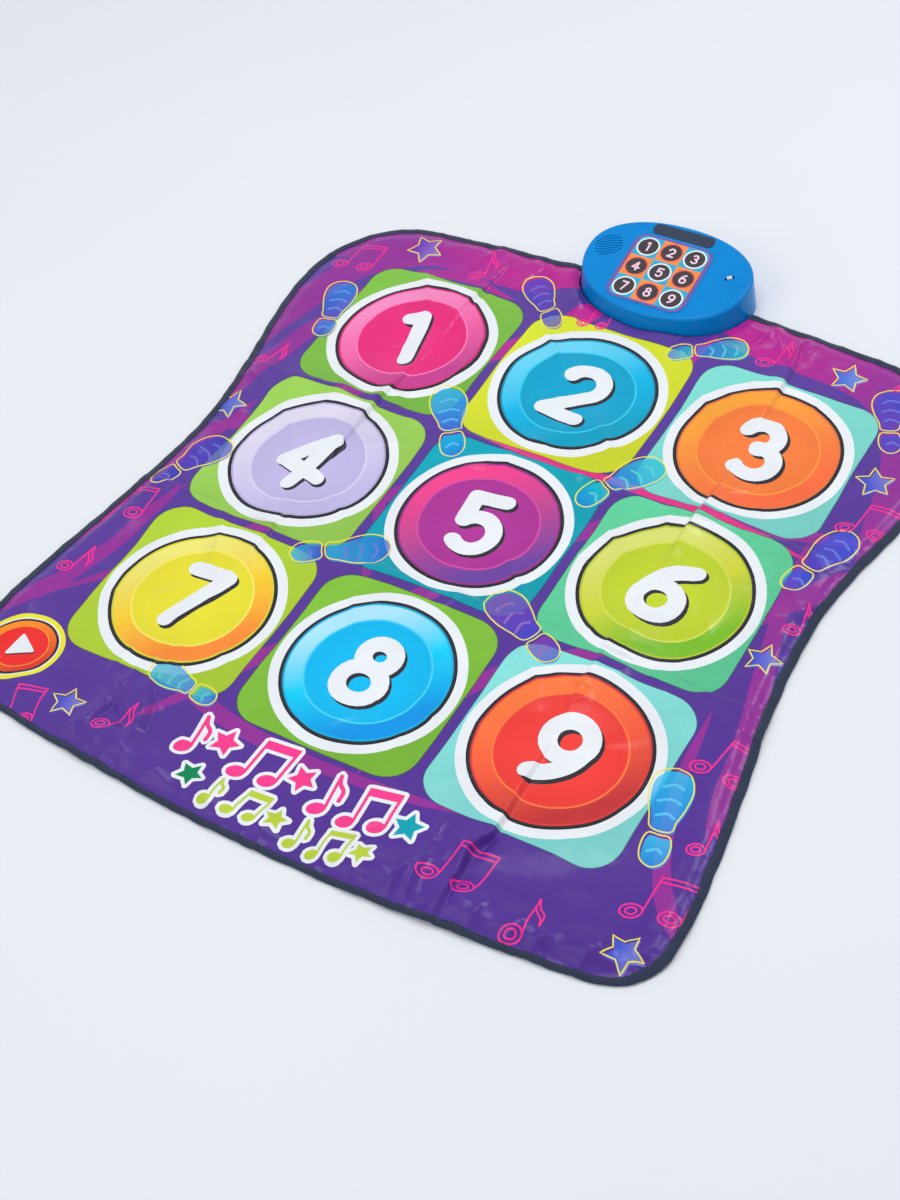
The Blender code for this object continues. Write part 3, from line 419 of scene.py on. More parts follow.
def tape_finish():
    """Woven edge tape: a fine diagonal rib, with lighter worn threads here and there."""
    tape = Finish("woven_tape", Sheen_Weight=0.25, Sheen_Roughness=0.45, Specular_IOR_Level=0.35)
    along = tape.add("UVMap", uv_map="tape").outputs["UV"]
    colour = tuple(settings().tape)
    twill = tape.wave(0.9 * MM, tape.stretched(along, (1, 1, 1), (0, 0, radians(58))), "X", 0.6)
    yarns = tape.noise(0.5 * MM, tape.stretched(along, (0.35, 2.4, 1)), detail=3.0)
    worn = tape.noise(0.03, detail=3.0)
    dark = times(colour, 0.55)
    light = tuple(min(1.0, c * 1.5 + 0.004) for c in colour)
    weave = tape.mix(tape.reach(tape.math("ADD", twill, yarns), 0.0, 1.0, 0.45, 1.5), dark, light)
    tape.set(Base_Color=tape.mix(tape.reach(worn, 0.0, 0.35, 0.45, 0.8), weave, light))
    tape.dull(yarns, 0.66, 0.86)
    tape.bumps((worn, 0.35 * MM), (twill, 0.09 * MM), (yarns, 0.05 * MM))
    return tape.material


def thread_finish():
    """Twisted sewing thread."""
    thread = Finish("sewing_thread", Sheen_Weight=0.3, Specular_IOR_Level=0.3)
    colour = tuple(min(1.0, c * 2.2 + 0.02) for c in settings().tape)
    thread.tint(colour, 0.3, 0.002)
    thread.dull(thread.noise(0.001), 0.6, 0.8)
    thread.bumps((thread.noise(0.3 * MM), 0.04 * MM))
    return thread.material


def backing_finish():
    """Black non-slip sheet with small raised dots."""
    sheet = Finish("nonslip_backing", Specular_IOR_Level=0.3)
    sheet.tint(tone(38, 38, 42), 0.25, 0.03)
    raised = sheet.reach(sheet.cells(3 * MM, scatter=0.0), 1.0, 0.0, 0.2, 0.42)
    sheet.dull(sheet.noise(0.004), 0.75, 0.92)
    sheet.bumps((raised, 0.25 * MM), (sheet.noise(0.8 * MM), 0.04 * MM))
    return sheet.material


def moulded_finish(name, colour, gloss=0.2, grain=0.5 * MM, depth=0.003 * MM):
    """Moulded plastic with a fine spark-eroded texture and faint handling marks."""
    plastic = Finish(name, IOR=1.46, Specular_IOR_Level=0.16)
    plastic.tint(colour, 0.05, 0.05)
    smear = plastic.noise(0.03, plastic.stretched(plastic.place, (1, 3, 1)), detail=2.0)
    plastic.dull(smear, gloss - 0.05, gloss + 0.08)
    plastic.bumps((plastic.noise(0.06, detail=1.0), 0.07 * MM),
                  (plastic.noise(grain, detail=2.0), depth))
    return plastic.material


def label_finish():
    """A printed polycarbonate label with a velvet face."""
    label = Finish("number_label", IOR=1.5)
    colour = label.add("Attribute", attribute_name="print").outputs["Color"]
    label.tint(colour, 0.03, 0.02)
    label.dull(label.noise(0.008), 0.3, 0.42)
    label.bumps((label.noise(0.25 * MM), 0.008 * MM))
    return label.material


def metal_finish(name, colour, roughness, size=0.002):
    """Plated or drawn metal with fine scratches along one way."""
    metal = Finish(name, Metallic=1.0)
    metal.tint(colour, 0.15, size * 4)
    scratch = metal.noise(size, metal.stretched(metal.place, (1, 12, 1)), detail=4.0)
    metal.dull(scratch, roughness - 0.08, roughness + 0.15)
    metal.bumps((scratch, 0.02 * MM))
    return metal.material


def soft_finish(name, colour, roughness, cell, depth):
    """A dull surface with a pebbled grain, for rubber, foam and card."""
    soft = Finish(name, Specular_IOR_Level=0.3)
    soft.tint(colour, 0.15, cell * 8)
    grain = soft.cells(cell)
    soft.set(Roughness=soft.reach(grain, roughness - 0.06, roughness + 0.06))
    soft.bumps((grain, depth))
    return soft.material


def contact_film_finish():
    """Clear polyester film with silver tracks that run towards the box."""
    film = Finish("contact_film", Coat_Weight=0.3, Coat_Roughness=0.12)
    tracks = film.wave(9 * MM, film.place, "X", 2.0)
    share = film.reach(tracks, 0.0, 1.0, 0.86, 0.92)
    film.set(Base_Color=film.mix(share, tone(206, 208, 204), tone(150, 152, 156)))
    film.set(Metallic=film.math("MULTIPLY", share, 0.7))
    film.dull(film.noise(0.01), 0.25, 0.4)
    film.bumps((share, 0.02 * MM), (film.noise(0.03), 0.15 * MM))
    return film.material


def board_finish():
    """Green solder mask over copper tracks."""
    board = Finish("solder_mask", Coat_Weight=0.35, Coat_Roughness=0.15)
    across = board.wave(3 * MM, board.place, "X", 3.0)
    along = board.wave(4 * MM, board.place, "Y", 3.0)
    tracks = board.reach(board.math("MAXIMUM", across, along), 0.0, 1.0, 0.8, 0.88)
    board.set(Base_Color=board.mix(tracks, tone(20, 92, 52), tone(46, 138, 78)))
    board.dull(board.noise(0.006), 0.3, 0.45)
    board.bumps((tracks, 0.05 * MM))
    return board.material


def sleeve_finish():
    """The printed sleeve of a dry cell, bare of words, with a bright shoulder."""
    sleeve = Finish("cell_sleeve", Coat_Weight=0.5, Coat_Roughness=0.08, Metallic=0.35)
    rings = sleeve.wave(25 * MM, sleeve.place, "X", 0.0)
    share = sleeve.reach(rings, 0.0, 1.0, 0.62, 0.66)
    sleeve.set(Base_Color=sleeve.mix(share, tone(52, 54, 60), tone(168, 140, 96)))
    sleeve.dull(sleeve.noise(0.005), 0.22, 0.34)
    sleeve.bumps((sleeve.noise(0.4 * MM), 0.01 * MM))
    return sleeve.material


def lamp_finish():
    """The diffused lens of an indicator lamp."""
    lens = Finish("lamp_lens", Transmission_Weight=0.5, IOR=1.49, Subsurface_Weight=0.2)
    lens.tint(tone(238, 196, 196), 0.08, 0.003)
    lens.dull(lens.noise(0.001), 0.22, 0.36)
    lens.bumps((lens.noise(0.5 * MM), 0.01 * MM))
    return lens.material


def floor_finish():
    """Pale seamless studio paper."""
    paper = Finish("studio_paper", Specular_IOR_Level=0.2, Roughness=0.85)
    paper.tint(tuple(settings().floor), 0.012, 0.6)
    away = paper.add("VectorMath", {0: paper.place}, operation="LENGTH").outputs["Value"]
    paper.set(Emission_Color=tuple(settings().floor),
              Emission_Strength=paper.reach(away, 0.0, 0.5, 2.4, 6.0))
    return paper.material


# Outlines


def arc(centre, radius, start, stop, steps):
    """Points along an arc, both ends included."""
    turns = np.linspace(start, stop, steps + 1)
    return np.stack([centre[0] + radius * np.cos(turns), centre[1] + radius * np.sin(turns)], 1)


def circle(centre, radius, step=1.5 * MM):
    """A closed ring of points round a circle."""
    count = max(16, int(2 * pi * radius / step))
    return arc(centre, radius, 0, 2 * pi, count)[:-1]


def rounded_box(centre, length, width, radius, turn=0.0, steps=8):
    """A closed ring of points round a rectangle with round corners."""
    points = []
    for k, (way_x, way_y) in enumerate([(1, 1), (-1, 1), (-1, -1), (1, -1)]):
        corner = (way_x * (length / 2 - radius), way_y * (width / 2 - radius))
        points.append(arc(corner, radius, k * pi / 2, (k + 1) * pi / 2, steps))
    return turned(np.concatenate(points), turn) + np.array(centre)


def turned(points, turn):
    """Points turned about the origin."""
    points = np.asarray(points, float)
    spin = np.array([[cos(turn), sin(turn)], [-sin(turn), cos(turn)]])
    return points @ spin


def spaced_round(points, step):
    """A closed ring of points, spaced evenly along it."""
    ring = np.concatenate([points, points[:1]])
    lengths = np.concatenate([[0], np.cumsum(np.linalg.norm(np.diff(ring, axis=0), axis=1))])
    marks = np.linspace(0, lengths[-1], int(lengths[-1] / step) + 1)[:-1]
    return np.stack([np.interp(marks, lengths, ring[:, k]) for k in (0, 1)], 1)


def corner_of(half_width, radius, crown, edge_y, way):
    """The fillet between a side and a crowned end: its centre, its angle and the crown's centre."""
    crown_y = edge_y - way * crown
    across = half_width - radius
    along = sqrt((crown - radius) ** 2 - across ** 2)
    return (across, crown_y + way * along), atan2(way * along, across), (0, crown_y)


def side_curve(end, waist):
    """The side from a corner to the waist, straight along Y at both ends."""
    share = np.linspace(0, 1, 61)
    sweep = (1 + np.cos(pi * share)) / 2
    return np.stack([waist[0] + (end[0] - waist[0]) * sweep,
                     end[1] + (waist[1] - end[1]) * share], 1)


def mat_outline():
    """The mat's outer edge, anticlockwise from the middle of its front."""
    front, front_end, front_crown = corner_of(FRONT_HALF, FRONT_CORNER_RADIUS, FRONT_CROWN_RADIUS,
                                              FRONT_EDGE_Y, -1)
    rear, rear_end, rear_crown = corner_of(REAR_HALF, REAR_CORNER_RADIUS, REAR_CROWN_RADIUS,
                                           REAR_EDGE_Y, 1)
    waist = (WAIST_HALF, WAIST_Y)
    right = np.concatenate([
        arc(front_crown, FRONT_CROWN_RADIUS, -pi / 2, front_end, 40),
        arc(front, FRONT_CORNER_RADIUS, front_end, 0, 24)[1:],
        side_curve((FRONT_HALF, front[1]), waist)[1:],
        side_curve((REAR_HALF, rear[1]), waist)[-2::-1],
        arc(rear, REAR_CORNER_RADIUS, 0, rear_end, 36)[1:],
        arc(rear_crown, REAR_CROWN_RADIUS, rear_end, pi / 2, 40)[1:],
    ])
    return np.concatenate([right, (right * [-1, 1])[-2:0:-1]])


def box_outline(inset):
    """A closed ring of points round the control box, at a distance inside its foot."""
    turns = np.arange(BOX_POINTS) * 2 * pi / BOX_POINTS
    reach = np.where(np.sin(turns) > 0, BOX_REAR_REACH, BOX_FRONT_REACH) - inset
    bend = 2 / BOX_POWER
    x = np.copysign(np.abs(np.cos(turns)) ** bend, np.cos(turns)) * (BOX_HALF_WIDTH - inset)
    y = np.copysign(np.abs(np.sin(turns)) ** bend, np.sin(turns)) * reach
    return np.stack([BOX_X + x, BOX_Y + y], 1)


def box_share(spots):
    """How far each spot is from the box's middle, where 1 is the foot of its wall."""
    x = np.abs(spots[:, 0] - BOX_X) / BOX_HALF_WIDTH
    y = spots[:, 1] - BOX_Y
    y = np.where(y > 0, y / BOX_REAR_REACH, -y / BOX_FRONT_REACH)
    return (x ** BOX_POWER + y ** BOX_POWER) ** (1 / BOX_POWER)


def within(spots, ring):
    """Whether each spot lies inside a closed ring of points."""
    inside = np.zeros(len(spots), bool)
    x, y = spots[:, 0], spots[:, 1]
    for (ax, ay), (bx, by) in zip(ring, np.roll(ring, -1, axis=0)):
        if ay == by:
            continue
        crosses = (ay > y) != (by > y)
        inside ^= crosses & (x < (bx - ax) * (y - ay) / (by - ay) + ax)
    return inside


def lid_matrix():
    """From the lid's tilted plane to the row frame."""
    return Matrix.Translation((BOX_X, BOX_Y, LID_HEIGHT)) @ Matrix.Rotation(LID_TILT, 4, "X")


def lid_z(y):
    """Height of the lid's tilted face."""
    return LID_HEIGHT + (y - BOX_Y) * tan(LID_TILT)


class Edge:
    """The mat's outer edge, and how far along and inside it a spot lies."""

    STEP = 2 * MM

    def __init__(self):
        self.points = spaced_round(mat_outline(), self.STEP)
        self.count = len(self.points)
        ahead = np.roll(self.points, -1, axis=0) - np.roll(self.points, 1, axis=0)
        self.along = ahead / np.linalg.norm(ahead, axis=1)[:, None]
        self.inward = np.stack([-self.along[:, 1], self.along[:, 0]], 1)
        steps = np.linalg.norm(np.roll(self.points, -1, axis=0) - self.points, axis=1)
        self.length = steps.sum()
        self.marks = np.concatenate([[0], np.cumsum(steps)[:-1]])
        self.tree = kdtree.KDTree(self.count)
        for k, (x, y) in enumerate(self.points):
            self.tree.insert((x, y, 0), k)
        self.tree.balance()

    def inset(self, distance):
        """The edge moved inwards."""
        return self.points + self.inward * distance

    def place(self, spots):
        """Each spot's distance along the edge and its distance inside it."""
        nearest = np.array([self.tree.find((x, y, 0))[1] for x, y in spots])
        offset = spots - self.points[nearest]
        along = self.marks[nearest] + (offset * self.along[nearest]).sum(1)
        return along % self.length, (offset * self.inward[nearest]).sum(1)

    def apart(self, along, mark):
        """Signed distance along the edge from a mark, the short way round."""
        return (along - mark + self.length / 2) % self.length - self.length / 2


EDGE = Edge()


# Relief: how far the loose film stands above the layers under it


def smooth(value, start, stop):
    """A smooth step from 0 at start to 1 at stop."""
    share = np.clip((value - start) / (stop - start), 0, 1)
    return share * share * (3 - 2 * share)


# Fold creases: the axis that they cross, places along them and on the axis from the middle pad, the
# share of the crease height, the width of the flank on each side, and the height of the step along
# the fold, where a positive step falls towards the axis's positive side
CREASES = [
    ("x", [(-470, -222), (-380, -226), (-310, -214), (-235, -210), (-60, -207), (95, -209),
           (146, -203), (318, -197), (400, -190), (440, -196)], 0.5, 62 * MM, 78 * MM,
     [(-470, 0), (-380, -2.5), (-310, 2), (-235, 1), (-150, 3), (-60, 1), (20, 2.5), (95, 5.5),
      (146, 5), (200, 2), (260, 1.5), (315, 4.5), (380, 2.5), (440, 0)]),
    ("x", [(-470, 214), (-440, 213), (-400, 212), (-373, 206), (-345, 219), (-300, 217),
           (-160, 212), (92, 214), (138, 217), (330, 212), (440, 204)], 0.6, 74 * MM, 60 * MM,
     [(-470, 3.5), (-400, 6), (-372, 6.5), (-322, 5), (-250, 3), (-170, -2), (-100, -2), (20, -1),
      (92, -5.5), (138, -4.5), (200, -1.5), (300, 3), (330, 5), (400, 2.5), (440, 1)]),
    ("y", [(-400, 112), (-158, 119), (0, 111), (140, 107), (400, 114)], 0.4, 52 * MM, 60 * MM,
     [(-400, 2), (-330, 3), (-250, 4), (-200, -3), (-100, 1.5), (0, 1.5), (70, 3.5), (140, 2.5),
      (220, -3.5), (300, 2.5), (400, 1)]),
    ("y", [(-400, -100), (-90, -104), (0, -102), (150, -96), (400, -104)], 0.45, 60 * MM, 52 * MM,
     [(-400, 2.5), (-300, 3.5), (-220, -3), (-100, 2), (0, 1.5), (75, 3), (150, 3.5), (230, -3),
      (300, 3), (400, 1)]),
]

# Folds drawn in millimetres from the middle pad: both ends, bow, height and half width
FOLDS = [
    ((-128, 448), (-62, 338), 9, 7.0, 7.0), ((150, 448), (72, 346), -8, 6.5, 6.5),
    ((-112, 444), (-56, 352), 7, -4.0, 3.5), ((134, 446), (66, 362), -6, -4.0, 3.5),
    ((-140, 420), (-92, 356), 6, 4.0, 5.0), ((120, 402), (176, 392), 5, 4.2, 5.0),
    ((222, -326), (214, -384), 3, -4.0, 3.0), ((214, -378), (222, -440), -3, -3.0, 3.0),
    ((-192, 330), (-128, 236), -6, 4.2, 9.0), ((-146, 268), (-150, 150), 5, 4.4, 9.0),
    ((-206, 146), (-176, 118), 3, 3.4, 6.0), ((-300, 330), (-206, 316), 5, 3.0, 9.0),
    ((-216, -372), (-232, -446), 4, -3.4, 3.5), ((-236, -366), (-186, -410), -5, -2.8, 3.0),
    ((-190, -352), (-164, -412), 5, -2.8, 3.0), ((168, -392), (158, -446), -3, -3.4, 3.0),
    ((-178, 352), (-136, 436), -5, 4.0, 7.0), ((-238, 352), (-190, 440), 6, 3.0, 9.0),
    ((176, 432), (146, 372), 4, 4.4, 6.0), ((234, 430), (214, 366), -4, 4.4, 7.0),
    ((203, 366), (222, 450), 4, 4.6, 6.0), ((158, 456), (196, 376), -6, 3.8, 6.0),
    ((-112, 322), (-26, 246), 5, 5.2, 8.0), ((112, 136), (28, 214), 4, 4.4, 7.5),
    ((116, 304), (190, 236), -4, 3.8, 8.0), ((-290, 356), (-232, 262), 5, 3.6, 9.0),
    ((-176, 352), (-190, 262), -4, 3.2, 7.0), ((122, -80), (36, -16), 4, 4.4, 8.0),
    ((-124, 78), (-196, 34), -4, 3.4, 7.5), ((-122, -66), (-196, -14), 5, 3.0, 8.0),
    ((-322, 68), (-262, 16), 5, 3.0, 9.0), ((116, 70), (196, 10), -5, 4.4, 8.0),
    ((322, 70), (254, 20), 5, 2.6, 9.0), ((170, -106), (204, -40), -3, 3.2, 8.0),
    ((-282, -98), (-236, -196), 5, 4.6, 8.5), ((-252, -372), (-238, -286), 3, 3.8, 8.0),
    ((-206, -372), (-196, -288), -3, 3.4, 7.5), ((-338, -282), (-282, -236), 4, 2.6, 9.0),
    ((116, -124), (190, -194), 5, 4.0, 8.5), ((122, -330), (176, -280), -4, 3.0, 9.0),
    ((314, -160), (262, -204), 5, 2.6, 9.0), ((-80, -130), (-40, -188), -3, 2.4, 9.0),
    ((106, -252), (60, -232), 4, 2.6, 9.0), ((-24, 120), (-14, 58), 3, 2.4, 8.0),
    ((386, 46), (326, 62), 4, 4.6, 7.0), ((392, 34), (332, 12), -4, 3.6, 6.0),
    ((-396, 92), (-342, 84), 4, 3.4, 7.0), ((-396, 38), (-336, 46), -4, 3.4, 7.0),
    ((-396, 6), (-346, 2), 3, 3.0, 6.0), ((195, 34), (262, 24), 7, 1.8, 5.0),
    ((214, 74), (206, 12), -3, 1.6, 5.0), ((262, 44), (276, 16), 3, 1.8, 4.5),
    ((-214, 62), (-206, -10), 4, 1.8, 6.0), ((-236, 30), (-180, 10), 5, 1.5, 6.0),
    ((-221, 460), (-214, 392), 3, 3.6, 7.0), ((-160, 456), (-150, 400), -3, 3.0, 6.0),
    ((-226, -330), (-236, -410), 5, 5.0, 7.0), ((-242, -352), (-164, -396), -8, 4.2, 5.5),
    ((-202, -340), (-176, -426), 7, 4.4, 5.5), ((-172, -362), (-116, -402), 6, 3.2, 6.0),
    ((-256, -452), (-216, -372), -6, 5.0, 6.5), ((184, -462), (176, -380), 4, 5.2, 6.0),
    ((166, -342), (172, -388), 2, 4.4, 6.0), ((172, -384), (163, -456), -3, 4.8, 6.5),
    ((150, -460), (192, -390), 7, 3.2, 6.0), ((236, -462), (254, -392), -5, 3.4, 7.0),
]

# How many small random tucks there are, and how high the film bulges round the box
TUCKS = 190
BOX_BULGE = 7.2 * MM

# Crumpled places, each a centre from the middle pad and a size, in millimetres
CRUMPLES = [((-214, -380), 55), ((190, -415), 60), ((150, 400), 60), ((-150, 390), 55),
            ((-206, 20), 45), ((214, 40), 50), ((380, 36), 30)]


def blunt(value, soft):
    """How far each value is from 0, rounded off at 0."""
    return np.sqrt(value ** 2 + soft ** 2) - soft


def read_off(table, along):
    """The value at each place, from a table of places and values in millimetres."""
    places, values = np.array(table).T * MM
    return np.interp(along, places, values)


def growing(inside, least, reach):
    """A share that grows from its least at the mat's edge to 1 at a distance inside it."""
    return least + (1 - least) * smooth(inside, 0, reach)


def crease_lift(spots, height):
    """The tents that the fold creases make, with a step that changes sides along the fold."""
    raised = np.zeros(len(spots))
    stepped = np.zeros(len(spots))
    for k, (_, _, share, before, after, steps) in enumerate(CREASES):
        across, along = from_crease(k, spots)
        flank = np.where(across < 0, before, after)
        varied = 0.72 + 0.28 * np.sin(along / (74 * MM) + 2.1 * k + 0.6)
        tent = np.clip(1 - blunt(across, 9 * MM) / (1.35 * flank), 0, 1)
        raised += (share * height * varied * tent ** 1.5) ** 3
        step = read_off(steps, along)
        side = across * np.sign(step)
        gentle = np.exp(-blunt(side, 1.5 * MM) / (30 * MM))
        steep = 1 - smooth(side, -0.8 * MM, 6.5 * MM)
        stepped += np.abs(step) * np.where(side < 0, np.minimum(gentle, steep), steep)
    return np.cbrt(raised) + stepped * 1.5


def crease_line(k, along):
    """Where a crease runs across its axis, a little wavy."""
    return read_off(CREASES[k][1], along) + 0.7 * MM * np.sin(along / (27 * MM) + 1.7 * k)


def from_crease(k, spots):
    """How far each spot lies across a crease, and where along it."""
    from_pad = spots - [0, MIDDLE_Y]
    across, along = (from_pad if CREASES[k][0] == "x" else from_pad[:, ::-1]).T
    return across - crease_line(k, along), along


def swell_lift(spots, height):
    """Slow swells of the loose film, flat where it lies on the foam."""
    draw = np.random.default_rng(SEED)
    total = np.zeros(len(spots))
    for _ in range(14):
        turn, size, phase = draw.uniform(0, pi), draw.uniform(0.06, 0.24), draw.uniform(0, 2 * pi)
        way = np.array([cos(turn), sin(turn)])
        total += np.sin((spots @ way) * 2 * pi / size + phase) * sqrt(size / 0.24)
    total = total / 2.6
    return height * (total + np.sqrt(total ** 2 + 0.25)) / 2


def facet_lift(spots, height):
    """Flat facets with straight ridges between them, as in film that was folded small."""
    draw = np.random.default_rng(SEED + 6)
    total = np.zeros(len(spots))
    for _ in range(9):
        turn, size = draw.uniform(0, pi), draw.uniform(0.08, 0.21)
        way, aside = np.array([cos(turn), sin(turn)]), np.array([-sin(turn), cos(turn)])
        bent = spots @ way + 9 * MM * np.sin((spots @ aside) / (52 * MM) + draw.uniform(0, 6))
        ridge = np.abs((bent / size + draw.uniform(0, 1)) % 1 - 0.5) * 2
        fade_in = np.sin((spots @ aside) / (draw.uniform(50, 110) * MM) + draw.uniform(0, 6))
        total += (ridge - 0.5) * np.clip(0.35 + fade_in, 0, 1) * size / 0.15
    return height * total


def box_lift(spots, height):
    """The film bulges up where the box sits on it, and dives under its wall."""
    share = box_share(spots)
    turn = np.arctan2(spots[:, 1] - BOX_Y, spots[:, 0] - BOX_X)
    varied = 1 + 0.16 * np.sin(5 * turn + 0.8) + 0.12 * np.sin(9 * turn)
    start, crest = 1.003, 1.011
    away = np.clip(share - crest, 0, None)
    return height * varied * smooth(share, start, crest) * np.exp(-away * 3.0)


def pucker_lift(along, inside, height):
    """Puckers that the sewing draws in, running inwards from the edge tape."""
    draw = np.random.default_rng(SEED + 1)
    total = np.zeros(len(along))
    mark = 0.0
    while mark < EDGE.length:
        mark += draw.uniform(9, 38) * MM
        tall = height * draw.uniform(0.25, 1.25) ** 1.3
        wide, deep = draw.uniform(3.5, 8.5) * MM, draw.uniform(12, 36) * MM
        slant, lean = draw.uniform(-0.55, 0.55), draw.uniform(-0.4, 0.4)
        offset = EDGE.apart(along, mark) - slant * inside
        near = (np.abs(offset) < 5 * wide) & (inside < 5 * deep)
        across = offset[near] / (wide * (1 + inside[near] / deep))
        ridge = np.exp(-(np.sqrt(across ** 2 + 0.04) - 0.2) * 1.3) * (1 + lean * np.tanh(across))
        depth = np.clip(inside[near], 0, None) / deep
        total[near] += tall * ridge * (0.3 + 1.4 * depth) * np.exp(-1.7 * depth)
    return total * (1 - smooth(inside, 36 * MM, 60 * MM))


def roll_lift(spots, along, inside, height):
    """The loose roll of film that stands up just inside the tape, most along the front."""
    draw = np.random.default_rng(SEED + 4)
    waves = sum(np.sin(along * 2 * pi / size + draw.uniform(0, 6))
                for size in (0.41, 0.23, 0.13, 0.07))
    front = 0.3 + 0.7 * smooth(-spots[:, 1], 300 * MM, 420 * MM)
    shape = smooth(inside, 3 * MM, 32 * MM) * (1 - smooth(inside, 32 * MM, 62 * MM))
    return height * front * shape * np.clip(0.8 + 0.25 * waves, 0.15, 1.5)


def fold_lift(spots, folds):
    """Short ridges with a sharp crest that die out at both ends."""
    total = np.zeros(len(spots))
    for start, end, bow, tall, wide in folds:
        a, b = spot(*start), spot(*end)
        length = np.linalg.norm(b - a)
        way = (b - a) / length
        offset = spots - (a + b) / 2
        near = (np.abs(offset) < length / 2 + 6 * wide * MM).all(1)
        along = offset[near] @ way * 2 / length
        across = offset[near] @ np.array([-way[1], way[0]]) - bow * MM * (1 - along ** 2)
        crest = np.exp(-blunt(across, 1.2 * MM) / (wide * MM))
        total[near] += tall * MM * crest * np.clip(1 - along ** 2, 0, 1) ** 0.8
    return total


def random_folds(count):
    """Small random tucks, most of them near the creases."""
    draw = np.random.default_rng(SEED + 2)
    folds = []
    start = (centre_of("pad_start") - [0, MIDDLE_Y]) / MM
    while len(folds) < count:
        x, y = draw.uniform(-405, 405), draw.uniform(-445, 425)
        near_crease = min(abs(abs(x) - 213), abs(y - 112), abs(y + 100)) < 34
        near_start = np.hypot(*((x, y) - start)) < START_CLEAR
        if near_start or (not near_crease and draw.uniform() > 0.22):
            continue
        turn, half = draw.uniform(0, pi), draw.uniform(9, 30)
        step = (half * cos(turn), half * sin(turn))
        folds.append(((x - step[0], y - step[1]), (x + step[0], y + step[1]),
                      draw.uniform(-5, 5), draw.uniform(0.6, 2.1), draw.uniform(3.5, 6.5)))
    return folds


def relief(spots):
    """How far the film stands up at each spot."""
    along, inside = EDGE.place(spots)
    film = settings()
    lift = crease_lift(spots, film.crease_height) * growing(inside, 0.45, 45 * MM)
    lift += swell_lift(spots, film.swell_height) * growing(inside, 0.3, 40 * MM)
    lift += pucker_lift(along, inside, film.pucker_height)
    lift += facet_lift(spots, film.swell_height) * smooth(inside, 0, 30 * MM)
    lift += roll_lift(spots, along, inside, 2.1 * film.pucker_height)
    lift += fold_lift(spots, FOLDS + random_folds(TUCKS)) * growing(inside, 0.35, 16 * MM)
    clear = smooth(box_share(spots), 1.01, 1.14)
    return np.clip(lift, 0, None) * clear + box_lift(spots, BOX_BULGE)


def rim_rise(inside):
    """Height of the cover's upper face over the floor, from the tape to the flat middle."""
    return RIM_TOP + (COVER_TOP - RIM_TOP) * smooth(inside, RIM_FLAT, RIM_END)


def crumpled(spots):
    """How crumpled the film is, from 0 to 1: most beside the creases and the border."""
    marks = np.zeros(len(spots))
    for k in range(len(CREASES)):
        marks += 0.5 * np.exp(-(from_crease(k, spots)[0] / (24 * MM)) ** 2)
    for centre, size in CRUMPLES:
        marks += 0.7 * np.exp(-((spots - spot(*centre)) ** 2).sum(1) / (size * MM) ** 2)
    _, inside = EDGE.place(spots)
    marks += 0.75 * np.exp(-np.clip(inside, 0, None) / (26 * MM))
    return np.clip(marks, 0.05, 1.0)


# Figures of the print


class Figure:
    """A flat printed figure: the spots that it covers and the lines round it."""

    def __init__(self, covers, lines):
        self.covers = covers
        self.lines = lines
        everything = np.concatenate(lines)
        self.low, self.high = everything.min(0), everything.max(0)

    def picked(self, spots):
        """Indices of the spots that the figure covers."""
        near = ((spots >= self.low) & (spots <= self.high)).all(1).nonzero()[0]
        return near[self.covers(spots[near])]


def closed(ring):
    """A ring of points with its first point again at its end."""
    return np.concatenate([ring, ring[:1]])


def away(spots, centre):
    """How far each spot is from a place."""
    return np.linalg.norm(spots - centre, axis=1)


def disc(centre, radius):
    """A printed disc."""
    centre = np.array(centre)
    return Figure(lambda s: away(s, centre) <= radius, [closed(circle(centre, radius))])


def area(ring):
    """A printed patch inside a ring of points."""
    return Figure(lambda s: within(s, ring), [closed(ring)])


def distance_to(spots, path):
    """The distance from each spot to a chain of straight lines."""
    best = np.full(len(spots), np.inf)
    for a, b in zip(path[:-1], path[1:]):
        way = b - a
        share = np.clip(((spots - a) @ way) / (way @ way), 0, 1)
        best = np.minimum(best, np.linalg.norm(spots - a - share[:, None] * way, axis=1))
    return best


def beside(path, half):
    """A closed ring round a path, with round ends."""
    ahead = np.gradient(path, axis=0)
    ahead /= np.linalg.norm(ahead, axis=1)[:, None]
    side = np.stack([-ahead[:, 1], ahead[:, 0]], 1) * half
    start = atan2(side[0][1], side[0][0])
    end = atan2(-side[-1][1], -side[-1][0])
    first = arc(path[0], half, start, start + pi, 8)
    last = arc(path[-1], half, end, end + pi, 8)
    return np.concatenate([first, (path - side)[1:-1], last, (path + side)[-2:0:-1]])


def corner_rings(path, radius):
    """Circles at a path's sharp corners, where its printed line is rounded."""
    ahead = np.diff(path, axis=0)
    turn = np.abs(np.angle(np.exp(1j * np.diff(np.arctan2(ahead[:, 1], ahead[:, 0])))))
    return [closed(circle(point, radius)) for point in path[1:-1][turn > radians(35)]]


def stroke(path, width):
    """A printed line with round ends along a smooth path, or round a closed one."""
    if np.allclose(path[0], path[-1]):
        return hoop(path[:-1], width)
    return Figure(lambda s: distance_to(s, path) <= width / 2, [closed(beside(path, width / 2))])


def hoop(ring, width):
    """A printed line round a closed ring."""
    path = closed(ring)
    return Figure(lambda s: distance_to(s, path) <= width / 2,
                  [closed(grown(ring, width / 2)), closed(grown(ring, -width / 2)),
                   *corner_rings(np.concatenate([ring[-1:], path]), width / 2)])


def joined(figures):
    """Several figures printed as one."""
    def covers(spots):
        found = np.zeros(len(spots), bool)
        for figure in figures:
            found[figure.picked(spots)] = True
        return found
    return Figure(covers, [line for figure in figures for line in figure.lines])


def plain(colour):
    """The same colour everywhere."""
    return lambda spots: np.broadcast_to(np.array(colour), (*spots.shape[:-1], 3))


